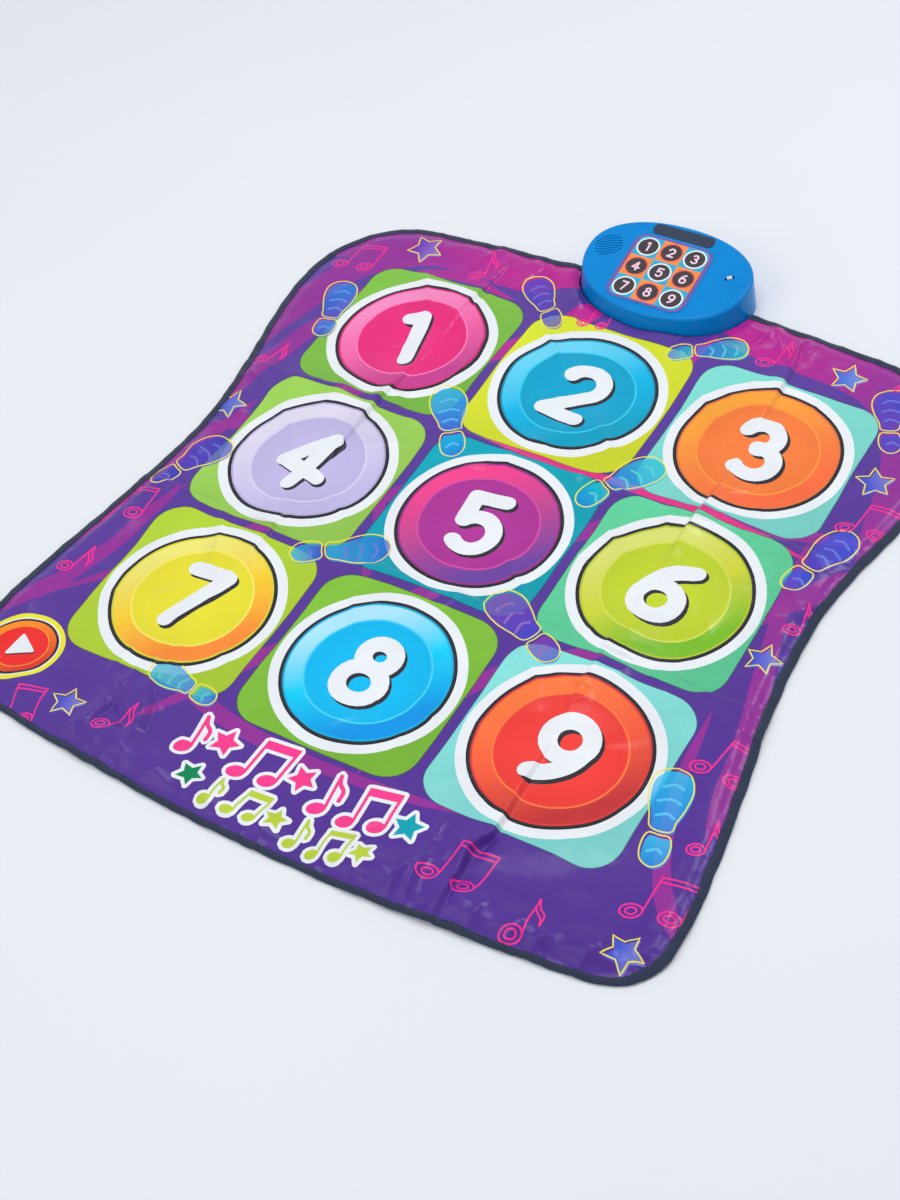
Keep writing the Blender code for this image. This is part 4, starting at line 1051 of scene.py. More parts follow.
def ink(figure, colour, strength=1.0):
    """One layer of the print: a figure, its colour or rule for it, and how much it covers."""
    return figure, colour if callable(colour) else plain(colour), strength


def between(start, end):
    """How far spots lie from one place towards another, from 0 to 1."""
    start, end = np.array(start), np.array(end)
    way = (end - start) / ((end - start) @ (end - start))
    return lambda spots: np.clip((spots - start) @ way, 0, 1)[..., None]


def fade(first, second, start, end):
    """A colour that changes from one to another between two places."""
    share, first, second = between(start, end), np.array(first), np.array(second)
    return lambda spots: first + (second - first) * share(spots)


def glow(middle_colour, outer_colour, centre, radius):
    """A colour that changes from a centre outwards."""
    centre, first, second = np.array(centre), np.array(middle_colour), np.array(outer_colour)

    def colour(spots):
        share = np.clip(np.linalg.norm(spots - centre, axis=-1) / radius, 0, 1)[..., None] ** 2
        return first + (second - first) * share
    return colour


def shaded(first, second, third, start, end):
    """A colour that runs through three between two places."""
    first, second, third = np.array(first), np.array(second), np.array(third)
    share_of = between(start, end)

    def colour(spots):
        share = share_of(spots)
        return np.where(share < 0.5, first + (second - first) * share * 2,
                        second + (third - second) * (share * 2 - 1))
    return colour


def times(colour, amount):
    """A colour made brighter or darker."""
    return tuple(min(1.0, c * amount) for c in colour)


def lighter(colour, amount):
    """A colour mixed with white, or with black where the amount is negative."""
    goal = 1.0 if amount > 0 else 0.0
    return tuple(c + (goal - c) * abs(amount) for c in colour)


# Plain figures from 1 to 9, as paths in a box one unit high


def curve(*points):
    """A smooth path through a few points."""
    points = np.array(points, float)
    ends = np.concatenate([[2 * points[0] - points[1]], points, [2 * points[-1] - points[-2]]])
    share = np.linspace(0, 1, 9)[:-1, None]
    path = []
    for a, b, c, d in zip(ends, ends[1:], ends[2:], ends[3:]):
        path.append(0.5 * (2 * b + (c - a) * share + (2 * a - 5 * b + 4 * c - d) * share ** 2
                           + (3 * b - a - 3 * c + d) * share ** 3))
    return np.concatenate(path + [points[-1:]])


def line(*points):
    """Straight paths between points, as separate strokes."""
    points = np.array(points, float)
    return [np.linspace(a, b, 6) for a, b in zip(points[:-1], points[1:])]


def bowl(centre, radius_x, radius_y, start, stop, steps=26):
    """Part of an upright oval, with its turns in degrees."""
    turns = np.radians(np.linspace(start, stop, steps))
    return np.stack([centre[0] + radius_x * np.cos(turns), centre[1] + radius_y * np.sin(turns)], 1)


# The strokes of each figure, from -0.5 to 0.5 high along their middle lines
TWO_TOP = bowl((0.0, 0.21), 0.29, 0.29, 168, -38)
SIX = [curve((0.17, 0.5), (-0.04, 0.36), (-0.22, 0.12), (-0.29, -0.21)),
       bowl((0.0, -0.21), 0.29, 0.29, 0, 360)]
NUMERALS = {
    1: line((-0.17, 0.43), (0.04, 0.5), (0.05, -0.5)),
    2: [TWO_TOP] + line(TWO_TOP[-1], (-0.29, -0.5), (0.31, -0.5)),
    3: [bowl((-0.01, 0.25), 0.25, 0.25, 150, -90), bowl((-0.01, -0.23), 0.29, 0.27, 90, -150)],
    4: line((0.1, 0.5), (-0.34, -0.18), (0.36, -0.18)) + line((0.1, 0.5), (0.1, -0.5)),
    5: line((0.26, 0.5), (-0.2, 0.5), (-0.24, 0.1)) + [
        bowl((-0.02, -0.18), 0.3, 0.32, 138, -142)],
    6: SIX,
    7: line((-0.29, 0.5), (0.29, 0.5), (-0.1, -0.5)),
    8: [bowl((0, 0.285), 0.23, 0.215, 0, 360), bowl((0, -0.215), 0.3, 0.285, 0, 360)],
    9: [-path for path in SIX],
}


def numeral_figures(digit, centre, height, width, shift=(0, 0), turn=0.0):
    """A figure's strokes as printed shapes, turned about its centre."""
    place = np.array(centre) + np.array(shift)
    return joined([stroke(placed(path, place, height - width, turn), width)
                   for path in NUMERALS[digit]])


def star(centre, radius, turn, points=5, waist=0.5):
    """A ring of points round a star."""
    reaches = [radius * (1 if k % 2 == 0 else waist) for k in range(2 * points)]
    ring = turned([(reach * cos(pi * k / points), reach * sin(pi * k / points))
                   for k, reach in enumerate(reaches)], turn)
    dense = [np.linspace(a, b, 5)[:-1] for a, b in zip(ring, np.roll(ring, -1, axis=0))]
    return np.concatenate(dense) + np.array(centre)


def placed(points, centre, size, turn):
    """Points of a motif scaled, turned and moved to its place."""
    return turned(np.array(points, float) * size, turn) + np.array(centre)


def grown(ring, distance):
    """A ring of points moved outwards."""
    ahead = np.roll(ring, -1, axis=0) - np.roll(ring, 1, axis=0)
    ahead /= np.linalg.norm(ahead, axis=1)[:, None]
    return ring + np.stack([ahead[:, 1], -ahead[:, 0]], 1) * distance


# Notes in a box one unit high: where the heads stand with and without a beam, and the bold beam
# and flag
NOTE_HEADS = {True: [(-0.32, -0.42), (0.36, -0.3)], False: [(-0.1, -0.42)]}
NOTE_BEAM = [(-0.19, 0.3), (0.56, 0.42), (0.56, 0.62), (-0.19, 0.5)]
NOTE_FLAG = curve((0.07, 0.42), (0.13, 0.25), (0.27, 0.1), (0.27, -0.12))
THIN_FLAGS = [curve((0.09, 0.42), (0.17, 0.24), (0.3, 0.09), (0.31, -0.14)),
              curve((0.09, 0.22), (0.17, 0.11), (0.27, 0.0), (0.31, -0.14))]
THIN_BEAMS = [np.linspace((-0.13, 0.42 - drop), (0.55, 0.54 - drop), 8) for drop in (0.0, 0.1)]


def note_head(x, y, size, stop):
    """The tilted oval of a note's head."""
    return turned(bowl((0, 0), 0.2 * size, 0.14 * size, 0, stop, 24), radians(24)) + [x, y]


def note_figures(centre, size, turn, beamed):
    """An eighth note, or two joined by a beam: oval heads, stems and a flag."""
    figures = []
    for x, y in NOTE_HEADS[beamed]:
        figures.append(area(placed(note_head(x, y, 1.0, 345), centre, size, turn)))
        stem = np.linspace((x + 0.165, y + 0.06), (x + 0.165, y + 0.86), 6)
        figures.append(stroke(placed(stem, centre, size, turn), 0.07 * size))
    if beamed:
        figures.append(area(placed(NOTE_BEAM, centre, size, turn)))
    else:
        figures.append(stroke(placed(NOTE_FLAG, centre, size, turn), 0.09 * size))
    return figures


def note_lines(centre, size, turn, beamed, width):
    """The same notes drawn in thin outline."""
    paths = []
    for x, y in NOTE_HEADS[beamed]:
        paths += [note_head(x, y, scale, 360) for scale in (1.0, 0.5)]
        paths.append(np.linspace((x + 0.19, y + 0.06), (x + 0.19, y + 0.84), 6))
    paths += THIN_BEAMS if beamed else THIN_FLAGS
    return [stroke(placed(path, centre, size, turn), width) for path in paths]


# A shoe's print in a box one unit high: the front of the sole, the heel, and the height and half
# width of each bar of the tread
SOLE_FRONT = curve((0.02, 0.5), (0.13, 0.45), (0.185, 0.3), (0.165, 0.12), (0.12, -0.03),
                   (0.1, -0.13), (-0.05, -0.13), (-0.09, 0.0), (-0.14, 0.18), (-0.145, 0.36),
                   (-0.08, 0.465), (0.02, 0.5))[:-1]
SOLE_HEEL = curve((0.02, -0.19), (0.11, -0.195), (0.135, -0.32), (0.11, -0.44), (0.03, -0.5),
                  (-0.06, -0.45), (-0.085, -0.33), (-0.06, -0.195), (0.02, -0.19))[:-1]
SOLE_BARS = [(0.34, 0.08), (0.19, 0.09), (0.04, 0.07), (-0.32, 0.055)]
SOLE_BREADTH = 1.12


def sole_rings(centre, size, turn, way):
    """The front of a sole and its heel, mirrored for the other foot."""
    rings = []
    for ring in (SOLE_FRONT, SOLE_HEEL):
        ring = ring * [SOLE_BREADTH * way, 1]
        ring = placed(ring if way < 0 else ring[::-1], centre, size, turn)
        rings.append(spaced_round(ring, 2.5 * MM))
    return rings


# The mat's print, placed in millimetres from the middle pad


# Sweeping bands of the ground: the points of their middle lines and their half widths at both ends
STRIPS = [
    ([(-60, 404), (-150, 406), (-250, 420), (-340, 402), (-412, 330)], 26, 38),
    ([(-110, 368), (-200, 374), (-290, 372), (-366, 318), (-400, 230), (-410, 130)], 13, 25),
    ([(-150, 344), (-250, 350), (-322, 300), (-352, 210), (-374, 110), (-398, 0)], 7, 15),
    ([(-345, 60), (-370, -40), (-396, -130), (-414, -230)], 7, 17),
    ([(-340, -90), (-356, -180), (-382, -270), (-424, -340)], 5, 13),
    ([(90, 404), (180, 402), (270, 412), (352, 394), (404, 336)], 24, 34),
    ([(110, 370), (220, 374), (308, 362), (364, 300), (392, 210), (400, 110)], 9, 21),
    ([(338, 130), (350, 30), (370, -60), (392, -150), (404, -260)], 6, 15),
    ([(342, -120), (354, -220), (380, -306), (424, -370)], 4, 11),
    ([(-412, -40), (-250, 110), (-112, 262), (-10, 420)], 9, 16),
    ([(-392, -300), (-214, -108), (-60, 60), (60, 230), (110, 380)], 8, 13),
    ([(-190, -400), (-112, -260), (10, -104), (112, 40), (250, 112), (400, 150)], 9, 14),
    ([(60, -350), (112, -190), (214, -100), (350, 30), (392, 110)], 8, 13),
    ([(-340, 250), (-240, 112), (-112, -30), (-70, -130)], 6, 9),
    ([(-170, -336), (-60, -352), (70, -352), (180, -340)], 11, 4),
]
BRIGHT_STRIP = ([(-70, 122), (30, 113), (130, 118), (240, 114), (346, 100)], 7, 5)


def strip(points, start, end):
    """A band that sweeps over the ground along a smooth line."""
    path = curve(*points) * MM + [0, MIDDLE_Y]
    ahead = np.gradient(path, axis=0)
    ahead /= np.linalg.norm(ahead, axis=1)[:, None]
    share = np.linspace(0, 1, len(path))[:, None]
    taper = np.minimum(1, np.minimum(share, 1 - share) * 7) ** 0.6
    half = np.maximum((start + (end - start) * share) * MM * taper, 0.3 * MM)
    side = np.stack([-ahead[:, 1], ahead[:, 0]], 1) * half
    return area(np.concatenate([path + side, (path - side)[::-1]]))


def ground_layers():
    """The sweeping bands on the ground, brightest near the control box."""
    band = tuple(settings().band)
    rosy = glow(tone(204, 24, 140), band, spot(0, 420), 330 * MM)
    layers = [ink(strip(*made), rosy, 0.85) for made in STRIPS]
    return layers + [ink(strip(*BRIGHT_STRIP), BRIGHT, 0.95)]


def tile_layers():
    """The nine round-cornered tiles and the white ring round each pad."""
    layers = []
    reach = np.array([80 * MM, -80 * MM])
    for name in PAD_NAMES:
        centre = centre_of(name)
        colour = tone(*PAD_PRINTS[name][0])
        tile = rounded_box(centre, *TILE_SIZE, TILE_CORNER)
        fill = fade(times(colour, 1.1), times(colour, 0.9), centre - reach, centre + reach)
        layers += [ink(area(grown(tile, 0.8 * MM)), times(colour, 0.22)), ink(area(tile), fill),
                   ink(disc(centre, PAD_RADIUS + 12.3 * MM), WHITE),
                   ink(disc(centre, PAD_RADIUS + 1.2 * MM), CHARCOAL)]
    start = centre_of("pad_start")
    return layers + [ink(disc(start, START_RADIUS + 7.6 * MM), tone(*START_PRINT[0])),
                     ink(disc(start, START_RADIUS + 2.2 * MM), WHITE)]


# Motifs: place and size in millimetres and turn in degrees, then for a shoe's print its side and
# the colours that it fades between, for a star its colour, and for a note whether it has a beam
SOLES = [
    ((-112, 122), 116, 34, 1, (0, 176, 228), (30, 104, 214)),
    ((118, 118), 112, -30, -1, (0, 196, 205), (20, 120, 220)),
    ((-116, -104), 112, -58, -1, (50, 84, 200), (0, 176, 215)),
    ((120, -112), 116, 62, 1, (128, 56, 170), (56, 70, 200)),
    ((-352, 236), 106, 14, 1, (20, 130, 220), (60, 76, 196)),
    ((-352, -62), 106, -24, -1, (52, 60, 180), (84, 60, 180)),
    ((362, 104), 108, -16, -1, (44, 84, 210), (80, 60, 184)),
    ((356, -256), 112, 12, 1, (0, 190, 236), (0, 136, 226)),
    ((-112, 350), 98, 44, 1, (60, 66, 190), (96, 62, 176)),
    ((112, 348), 96, -62, -1, (0, 186, 196), (30, 110, 216)),
    ((348, 332), 98, 24, -1, (54, 74, 200), (84, 60, 180)),
    ((-166, -330), 88, 84, -1, (0, 184, 200), (20, 116, 220)),
]
STARS = [
    ((-372, 40), 23, 12, (56, 84, 204)),
    ((368, 236), 22, 40, (60, 80, 200)),
    ((-300, 380), 24, -8, (106, 60, 184)),
    ((276, 378), 22, 20, (40, 110, 214)),
    ((-262, -410), 20, 30, (70, 74, 196)),
    ((392, -404), 21, 0, (64, 84, 204)),
    ((362, -40), 20, 16, (60, 84, 204)),
]
NOTES = [
    ((-378, 338), 50, 0, True), ((-374, 140), 50, -10, False), ((-386, -146), 52, 6, True),
    ((-384, -236), 48, -8, False), ((-316, -432), 46, 8, True), ((-202, -396), 52, -12, False),
    ((206, -392), 54, -6, True), ((292, -410), 56, 6, False), ((392, -336), 54, 0, True),
    ((382, -168), 52, -10, True), ((372, 28), 44, 8, False), ((380, 184), 50, -6, True),
    ((-214, 384), 50, 12, False), ((-40, 352), 34, 0, True), ((186, 384), 54, -8, False),
    ((346, 404), 40, 10, True), ((-368, 414), 40, -6, False), ((402, -254), 44, 4, False),
]


# How far the thin outlines are printed beside their shapes
SOLE_OFFSET = np.array([-2.6 * MM, 2.2 * MM])
STAR_OFFSET = np.array([-2.2 * MM, 2 * MM])


def motif_layers():
    """Shoe prints and stars with thin offset outlines, and music notes along the border."""
    layers = []
    for place, size, turn, way, first, second in SOLES:
        place, size, turn = spot(*place), size * MM, radians(turn)
        first, second = tone(*first), tone(*second)
        rings = sole_rings(place, size, turn, way)
        layers += [ink(area(ring), fade(first, second, ring[0], ring[len(ring) // 2]), 0.8)
                   for ring in rings]
        for height, half in SOLE_BARS:
            bar = curve((-half, height - 0.02), (0.01, height + 0.02), (half, height - 0.01))
            bar = placed((bar + [0.012, 0]) * [SOLE_BREADTH * way, 1], place, size, turn)
            layers.append(ink(stroke(bar, 3.0 * MM), lighter(first, 0.12), 0.8))
        layers += [ink(stroke(closed(grown(ring, 0.6 * MM) + SOLE_OFFSET), THIN_LINE),
                       THIN_YELLOW) for ring in rings]
    for place, size, turn, colour in STARS:
        ring = star(spot(*place), size * MM, radians(turn))
        fill = fade(lighter(tone(*colour), 0.2), tone(*colour), ring[0], ring[len(ring) // 2])
        layers += [ink(area(ring), fill, 0.9),
                   ink(stroke(closed(ring + STAR_OFFSET), THIN_LINE), THIN_YELLOW)]
    for place, size, turn, beamed in NOTES:
        layers += [ink(figure, NOTE_PINK) for figure in
                   note_lines(spot(*place), size * MM, radians(turn), beamed, NOTE_LINE)]
    return layers


# The front rows: place from the middle pad in millimetres, size, turn in degrees, kind and colour
PINK, LIME = tone(246, 60, 140), tone(186, 206, 58)
TEAL, GREEN = tone(0, 160, 176), tone(0, 132, 84)
FRONT_ROWS = [
    (-119, -375, 50, 8, "note", PINK), (-84, -372, 17, 10, "star", PINK),
    (-36, -376, 52, -3, "beam", PINK), (14, -374, 16, -14, "star", PINK),
    (48, -376, 50, 6, "note", PINK), (94, -377, 48, 3, "beam", PINK),
    (141, -376, 17, 24, "star", TEAL), (-92, -422, 15, 0, "star", GREEN),
    (-58, -427, 36, 6, "note", LIME), (-20, -427, 36, -4, "beam", LIME),
    (17, -427, 13, 20, "star", LIME), (46, -428, 36, 4, "note", LIME),
    (82, -429, 36, 4, "beam", LIME), (118, -424, 13, -8, "star", LIME),
]


def front_row_layers():
    """Two plain rows of bold notes and stars along the front, with a white halo behind them."""
    halos, shapes = [], []
    for x, y, size, turn, kind, colour in FRONT_ROWS:
        place = (spot(x, y), size * MM, radians(turn))
        if kind == "star":
            ring = star(*place)
            figures, halo = [area(ring)], [stroke(closed(ring), HALO)]
        else:
            figures = note_figures(*place, kind == "beam")
            halo = [stroke(closed(spaced_round(path[:-1], 3 * MM)), HALO)
                    for figure in figures for path in figure.lines]
        halos += [ink(figure, WHITE) for figure in halo + figures]
        shapes += [ink(figure, colour) for figure in figures]
    return halos + shapes


def pad_layers(name):
    """One pad's dark ring, shaded rim, inner disc and number with its shadow."""
    centre = centre_of(name)
    _, rim_light, rim_middle, rim_dark, inner_line, inner = (tone(*c) for c in PAD_PRINTS[name])
    reach = np.array([-50 * MM, 50 * MM])
    rim = shaded(rim_light, rim_middle, rim_dark, centre + reach, centre - reach)
    digit = int(name[-1])
    turn = radians(DIGIT_TURNS[digit])
    drawn = (digit, centre, DIGIT_HEIGHT, DIGIT_STROKE)
    middle_fill = glow(times(inner, 1.04), times(inner, 0.96), centre, INNER_RADIUS + 0.8 * MM)
    return [
        ink(disc(centre, PAD_RADIUS + 1 * MM), CHARCOAL),
        ink(disc(centre, PAD_RADIUS - 3.0 * MM), times(inner, 0.88)),
        ink(disc(centre, PAD_RADIUS - 5.2 * MM), rim),
        ink(disc(centre, INNER_RADIUS + 2.3 * MM), inner_line),
        ink(disc(centre, INNER_RADIUS), middle_fill),
        *[ink(numeral_figures(*drawn, (k * MM, -0.62 * k * MM), turn), CHARCOAL)
          for k in (2.4, 4.8)],
        ink(numeral_figures(*drawn, turn=turn), WHITE),
    ]


def start_layers():
    """The start pad: a red button with an orange rim and a plain triangle."""
    centre = centre_of("pad_start")
    _, rim_light, _, rim_dark, inner_line, inner = (tone(*c) for c in START_PRINT)
    reach = np.array([-26 * MM, 22 * MM])
    triangle = np.array([(15, 0), (-9, 14), (-9, -14)]) * MM + centre
    edge = np.concatenate([np.linspace(a, b, 9)[:-1] for a, b in
                           zip(triangle, np.roll(triangle, -1, axis=0))])
    shadow = edge + [1.6 * MM, -1.4 * MM]
    rim = fade(rim_light, rim_dark, centre + reach, centre - reach)
    middle_fill = glow(times(inner, 1.08), inner, centre, START_INNER_RADIUS + 1 * MM)
    return [
        ink(disc(centre, START_RADIUS + 1 * MM), CHARCOAL),
        ink(disc(centre, START_RADIUS - 2.4 * MM), rim),
        ink(disc(centre, START_INNER_RADIUS + 1.2 * MM), inner_line),
        ink(disc(centre, START_INNER_RADIUS), middle_fill),
        *[ink(figure, colour) for ring, colour in ((shadow, CHARCOAL), (edge, WHITE))
          for figure in (area(ring), stroke(closed(ring), 4 * MM))],
    ]


# Meshes of printed sheets


def grid(low, high, step):
    """Spots of a triangular grid over a rectangle."""
    columns = np.arange(low[0], high[0], step)
    rows = np.arange(low[1], high[1], step * sqrt(3) / 2)
    x, y = np.meshgrid(columns, rows)
    x[1::2] += step / 2
    return np.stack([x.ravel(), y.ravel()], 1)


def finer(path, step):
    """A path with points at most a step apart."""
    parts = []
    for a, b in zip(path[:-1], path[1:]):
        count = max(1, int(np.ceil(np.linalg.norm(b - a) / step)))
        parts.append(a + (b - a) * np.arange(count)[:, None] / count)
    return np.concatenate(parts + [path[-1:]])


def sheet_mesh(name, spots, lines, step, inside, layers, ground, lift):
    """A sheet's mesh: triangles between its spots and lines, coloured by the topmost layer."""
    lines = [finer(path, step) for path in lines]
    on_lines = np.concatenate(lines)
    near = kdtree.KDTree(len(on_lines))
    for k, (x, y) in enumerate(on_lines):
        near.insert((x, y, 0), k)
    near.balance()
    gaps = np.array([near.find((x, y, 0))[2] for x, y in spots])
    free = spots[gaps > 0.45 * step]
    edges, count = [], 0
    for path in lines:
        edges += [(count + k, count + k + 1) for k in range(len(path) - 1)]
        count += len(path)
    points = [Vector(point) for point in np.concatenate([on_lines, free])]
    found = geometry.delaunay_2d_cdt(points, edges, [], 0, TINY)
    corners = np.array([(point.x, point.y) for point in found[0]])
    faces = np.array(found[2])
    middles = corners[faces].mean(1)
    faces = faces[inside(middles)]
    used, faces = np.unique(faces, return_inverse=True)
    faces = faces.reshape(-1, 3)
    corners = corners[used]
    print_colours = painted(corners[faces], layers, ground)
    places = np.column_stack([corners, lift(corners)])
    mesh = bpy.data.meshes.new(name)
    mesh.from_pydata(places.tolist(), [], faces.tolist())
    colours = mesh.attributes.new("print", "FLOAT_COLOR", "CORNER")
    colours.data.foreach_set("color", np.dstack([print_colours, np.ones(faces.shape)]).ravel())
    crumple = mesh.attributes.new("crumple", "FLOAT", "POINT")
    crumple.data.foreach_set("value", crumpled(corners))
    mesh.shade_smooth()
    return mesh


def painted(triangles, layers, ground):
    """The print's colour at each corner of each triangle."""
    middles = triangles.mean(1)
    colours = np.array(ground(triangles), float)
    for figure, colour, strength in layers:
        picked = figure.picked(middles)
        colours[picked] += (colour(triangles[picked]) - colours[picked]) * strength
    return colours


def read(items, field, width=1, kind=float):
    """A field of a mesh's items, as an array with a row for each."""
    values = np.zeros(len(items) * width, kind)
    items.foreach_get(field, values)
    return values.reshape(-1, width) if width > 1 else values


def as_mesh(name, bm):
    """A new mesh from a bmesh, which is freed."""
    mesh = bpy.data.meshes.new(name)
    bm.to_mesh(mesh)
    bm.free()
    return mesh


def add_object(name, mesh, *materials):
    """A new object with a mesh and its materials."""
    made = bpy.data.objects.new(name, mesh)
    bpy.context.scene.collection.objects.link(made)
    for material in materials:
        made.data.materials.append(material)
    return made


def thicken(piece, thickness, kept=1.0):
    """Gives a sheet its thickness, and keeps a share of its triangles by thinning its back."""
    solid = piece.modifiers.new("thickness", "SOLIDIFY")
    solid.thickness = thickness
    solid.offset = -1.0
    solid.material_offset = 1
    solid.material_offset_rim = 1
    if kept < 1:
        piece.vertex_groups.new(name="back")
        solid.shell_vertex_group = "back"
        fewer = piece.modifiers.new("fewer back triangles", "DECIMATE")
        fewer.vertex_group = "back"
        fewer.ratio = kept
    settle(piece)
    piece.vertex_groups.clear()


def settle(piece):
    """Applies a piece's modifiers to its mesh."""
    bpy.context.view_layer.update()
    shaped = piece.evaluated_get(bpy.context.evaluated_depsgraph_get())
    mesh = bpy.data.meshes.new_from_object(shaped, preserve_all_data_layers=True,
                                           depsgraph=bpy.context.evaluated_depsgraph_get())
    piece.modifiers.clear()
    old = piece.data
    piece.data = mesh
    mesh.name = piece.name
    bpy.data.meshes.remove(old)


def shade_from(piece, lift):
    """Takes a sheet's shading from its relief, so that its thin triangles leave no marks."""
    mesh = piece.data
    spots = read(mesh.vertices, "co", 3)[:, :2]
    reach = 0.6 * MM
    slopes = [(lift(spots + step) - lift(spots - step)) / (2 * reach)
              for step in (np.array([reach, 0]), np.array([0, reach]))]
    normals = np.column_stack([-slopes[0], -slopes[1], np.ones(len(spots))])
    normals /= np.linalg.norm(normals, axis=1)[:, None]
    used = read(mesh.loops, "vertex_index", kind=int)
    sizes = read(mesh.polygons, "loop_total", kind=int)
    flat = np.repeat(read(mesh.polygons, "normal", 3), sizes, axis=0)
    up = flat[:, 2:]
    mesh.normals_split_custom_set(
        np.where(up > 0.3, normals[used], np.where(up < -0.3, -normals[used], flat)).tolist())


def cover_film():
    """The printed top film, with its ten openings."""
    holes = [(centre_of(name), radius_of(name) + HOLE_GAP) for name in ALL_PADS]
    rims = [circle(*hole) for hole in holes]
    outer = EDGE.inset(COVER_INSET)
    flap = box_outline(WALL + FLAP)
    behind = box_outline(WALL + 0.5 * MM)
    rear = REAR_EDGE_Y - RIM_END - 3 * MM

    def inside(spots):
        kept = within(spots, outer) & ~within(spots, flap)
        kept &= ~(within(spots, behind) & (spots[:, 1] > rear))
        for centre, radius in holes:
            kept &= away(spots, centre) > radius
        return kept

    layers = ground_layers() + tile_layers() + motif_layers() + front_row_layers()
    lines = [closed(ring) for ring in rims + [outer, flap, behind]]
    lines += lines_of(layers) + guide_lines()
    low, high = outer.min(0), outer.max(0)
    coarse, fine = grid(low, high, COARSE), grid(low, high, FINE)
    spots = np.concatenate([coarse[~needs_detail(coarse)], fine[needs_detail(fine)]])
    spots = spots[inside(spots)]

    def lift(corners):
        _, inset = EDGE.place(corners)
        return rim_rise(inset) + relief(corners)

    colour = tuple(settings().ground)
    ground = fade(lighter(colour, 0.02), lighter(colour, -0.1), spot(-300, 300), spot(300, -450))
    mesh = sheet_mesh("cover_print", spots, lines, LINE_STEP, inside, layers, ground, lift)
    cover = add_object("cover_print", mesh, printed_film_finish(), film_back_finish())
    cover["flat_area"] = sum_area(mesh)
    thicken(cover, COVER, COVER_KEPT)
    shade_from(cover, lift)
    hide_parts("cover_film")
    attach(cover, "mat_and_box")
    return cover


def lines_of(layers):
    """The lines round every figure of a print."""
    return [path for figure, _, _ in layers for path in figure.lines]


def sum_area(mesh):
    """The area of a sheet's triangles seen from above, before it has a thickness."""
    corners = read(mesh.vertices, "co", 3)[:, :2]
    a, b, c = corners[read(mesh.loops, "vertex_index", kind=int)].reshape(-1, 3, 2).swapaxes(0, 1)
    return float(np.abs(np.cross(b - a, c - a)).sum() / 2)


def guide_lines():
    """Lines beside the creases and the folds, so that the mesh bends along them."""
    guides = []
    run = np.arange(-FRONT_HALF, FRONT_HALF, 5 * MM)
    for k, (axis, *_) in enumerate(CREASES):
        for aside in (-6, -3, -1.2, 0.6, 2.2, 4, 6.5, 10):
            across = crease_line(k, run) + aside * MM
            path = np.stack([across, run] if axis == "x" else [run, across], 1)
            guides.append(path + [0, MIDDLE_Y])
    guides += [closed(box_outline(-gap * MM)) for gap in (0.3, 0.9, 2.4)]
    for start, end, bow, _, wide in FOLDS:
        a, b = spot(*start), spot(*end)
        length = np.linalg.norm(b - a)
        way = (b - a) / length
        share = np.linspace(-1, 1, 2 + int(length / (5 * MM)))[:, None]
        for aside in (-1, -0.35, 0, 0.35, 1):
            shift = bow * MM * (1 - share ** 2) + aside * wide * MM
            guides.append((a + b) / 2 + (b - a) / 2 * share + shift * np.array([-way[1], way[0]]))
    return guides


def needs_detail(spots):
    """Whether a spot lies where the film bends sharply: by a crease, the border or the box."""
    near = np.zeros(len(spots), bool)
    for k in range(len(CREASES)):
        near |= np.abs(from_crease(k, spots)[0]) < CREASE_BAND
    _, inset = EDGE.place(spots)
    near |= inset < BORDER
    near |= (box_share(spots) < 1.5) & (box_share(spots) > 1.0)
    return near


def pad_film(name):
    """One printed disc of film, which sinks when it is stepped on."""
    centre, radius = centre_of(name), radius_of(name)
    layers = start_layers() if name == "pad_start" else pad_layers(name)

    def lift(corners):
        return PAD_TOP + relief(corners)

    lines = [path for path in [closed(circle(centre, radius))] + lines_of(layers)
             if away(path, centre).max() < radius + 0.1 * MM]
    spots = grid(centre - radius, centre + radius, PAD_STEP)
    spots = spots[away(spots, centre) < radius - 0.4 * PAD_STEP]
    mesh = sheet_mesh(name + "_print", spots, lines, PAD_STEP,
                      lambda s: away(s, centre) < radius, layers, plain(CHARCOAL), lift)
    flat_area = sum_area(mesh)
    piece = add_object(name + "_print", mesh, printed_film_finish(), film_back_finish())
    thicken(piece, span(name).z)
    shade_from(piece, lift)
    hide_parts(name)
    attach(piece, name + "_film")
    return piece


def backing_sheet():
    """The non-slip sheet, lifted at its rim into the tape."""
    outer = EDGE.inset(COVER_INSET)
    window = box_outline(WALL + 0.3 * MM)
    lifted = relief(EDGE.inset(6 * MM))
    lifted_inside, fine_inside = 26 * MM, 34 * MM

    def inside(spots):
        return within(spots, outer) & ~within(spots, window)

    def lift(corners):
        along, inset = EDGE.place(corners)
        step = smooth(inset, RIM_END, RIM_FLAT)
        marks = np.concatenate([EDGE.marks, [EDGE.length]])
        rise = np.interp(along, marks, np.concatenate([lifted, lifted[:1]]))
        return BACKING + BACKING_RIM * step + rise * smooth(inset, lifted_inside, 8 * MM)

    low, high = outer.min(0), outer.max(0)
    coarse, fine = grid(low, high, 4 * BACKING_STEP), grid(low, high, BACKING_STEP)
    spots = np.concatenate([coarse[EDGE.place(coarse)[1] >= fine_inside],
                            fine[EDGE.place(fine)[1] < fine_inside]])
    lines = [closed(ring) for ring in (outer, window, EDGE.inset(RIM_FLAT),
                                       EDGE.inset(lifted_inside))]
    mesh = sheet_mesh("backing", spots[inside(spots)], lines, BACKING_STEP, inside, [],
                      plain(CHARCOAL), lift)
    flat_area = sum_area(mesh)
    finish = backing_finish()
    piece = add_object("backing", mesh, finish, finish)
    thicken(piece, BACKING)
    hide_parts("backing_sheet")
    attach(piece, "mat_and_box")
    return piece


# The edge tape


# Distances inside the edge at which the tape's lift is taken
TAPE_MARKS = (1 * MM, 4 * MM, 7 * MM, 10 * MM)


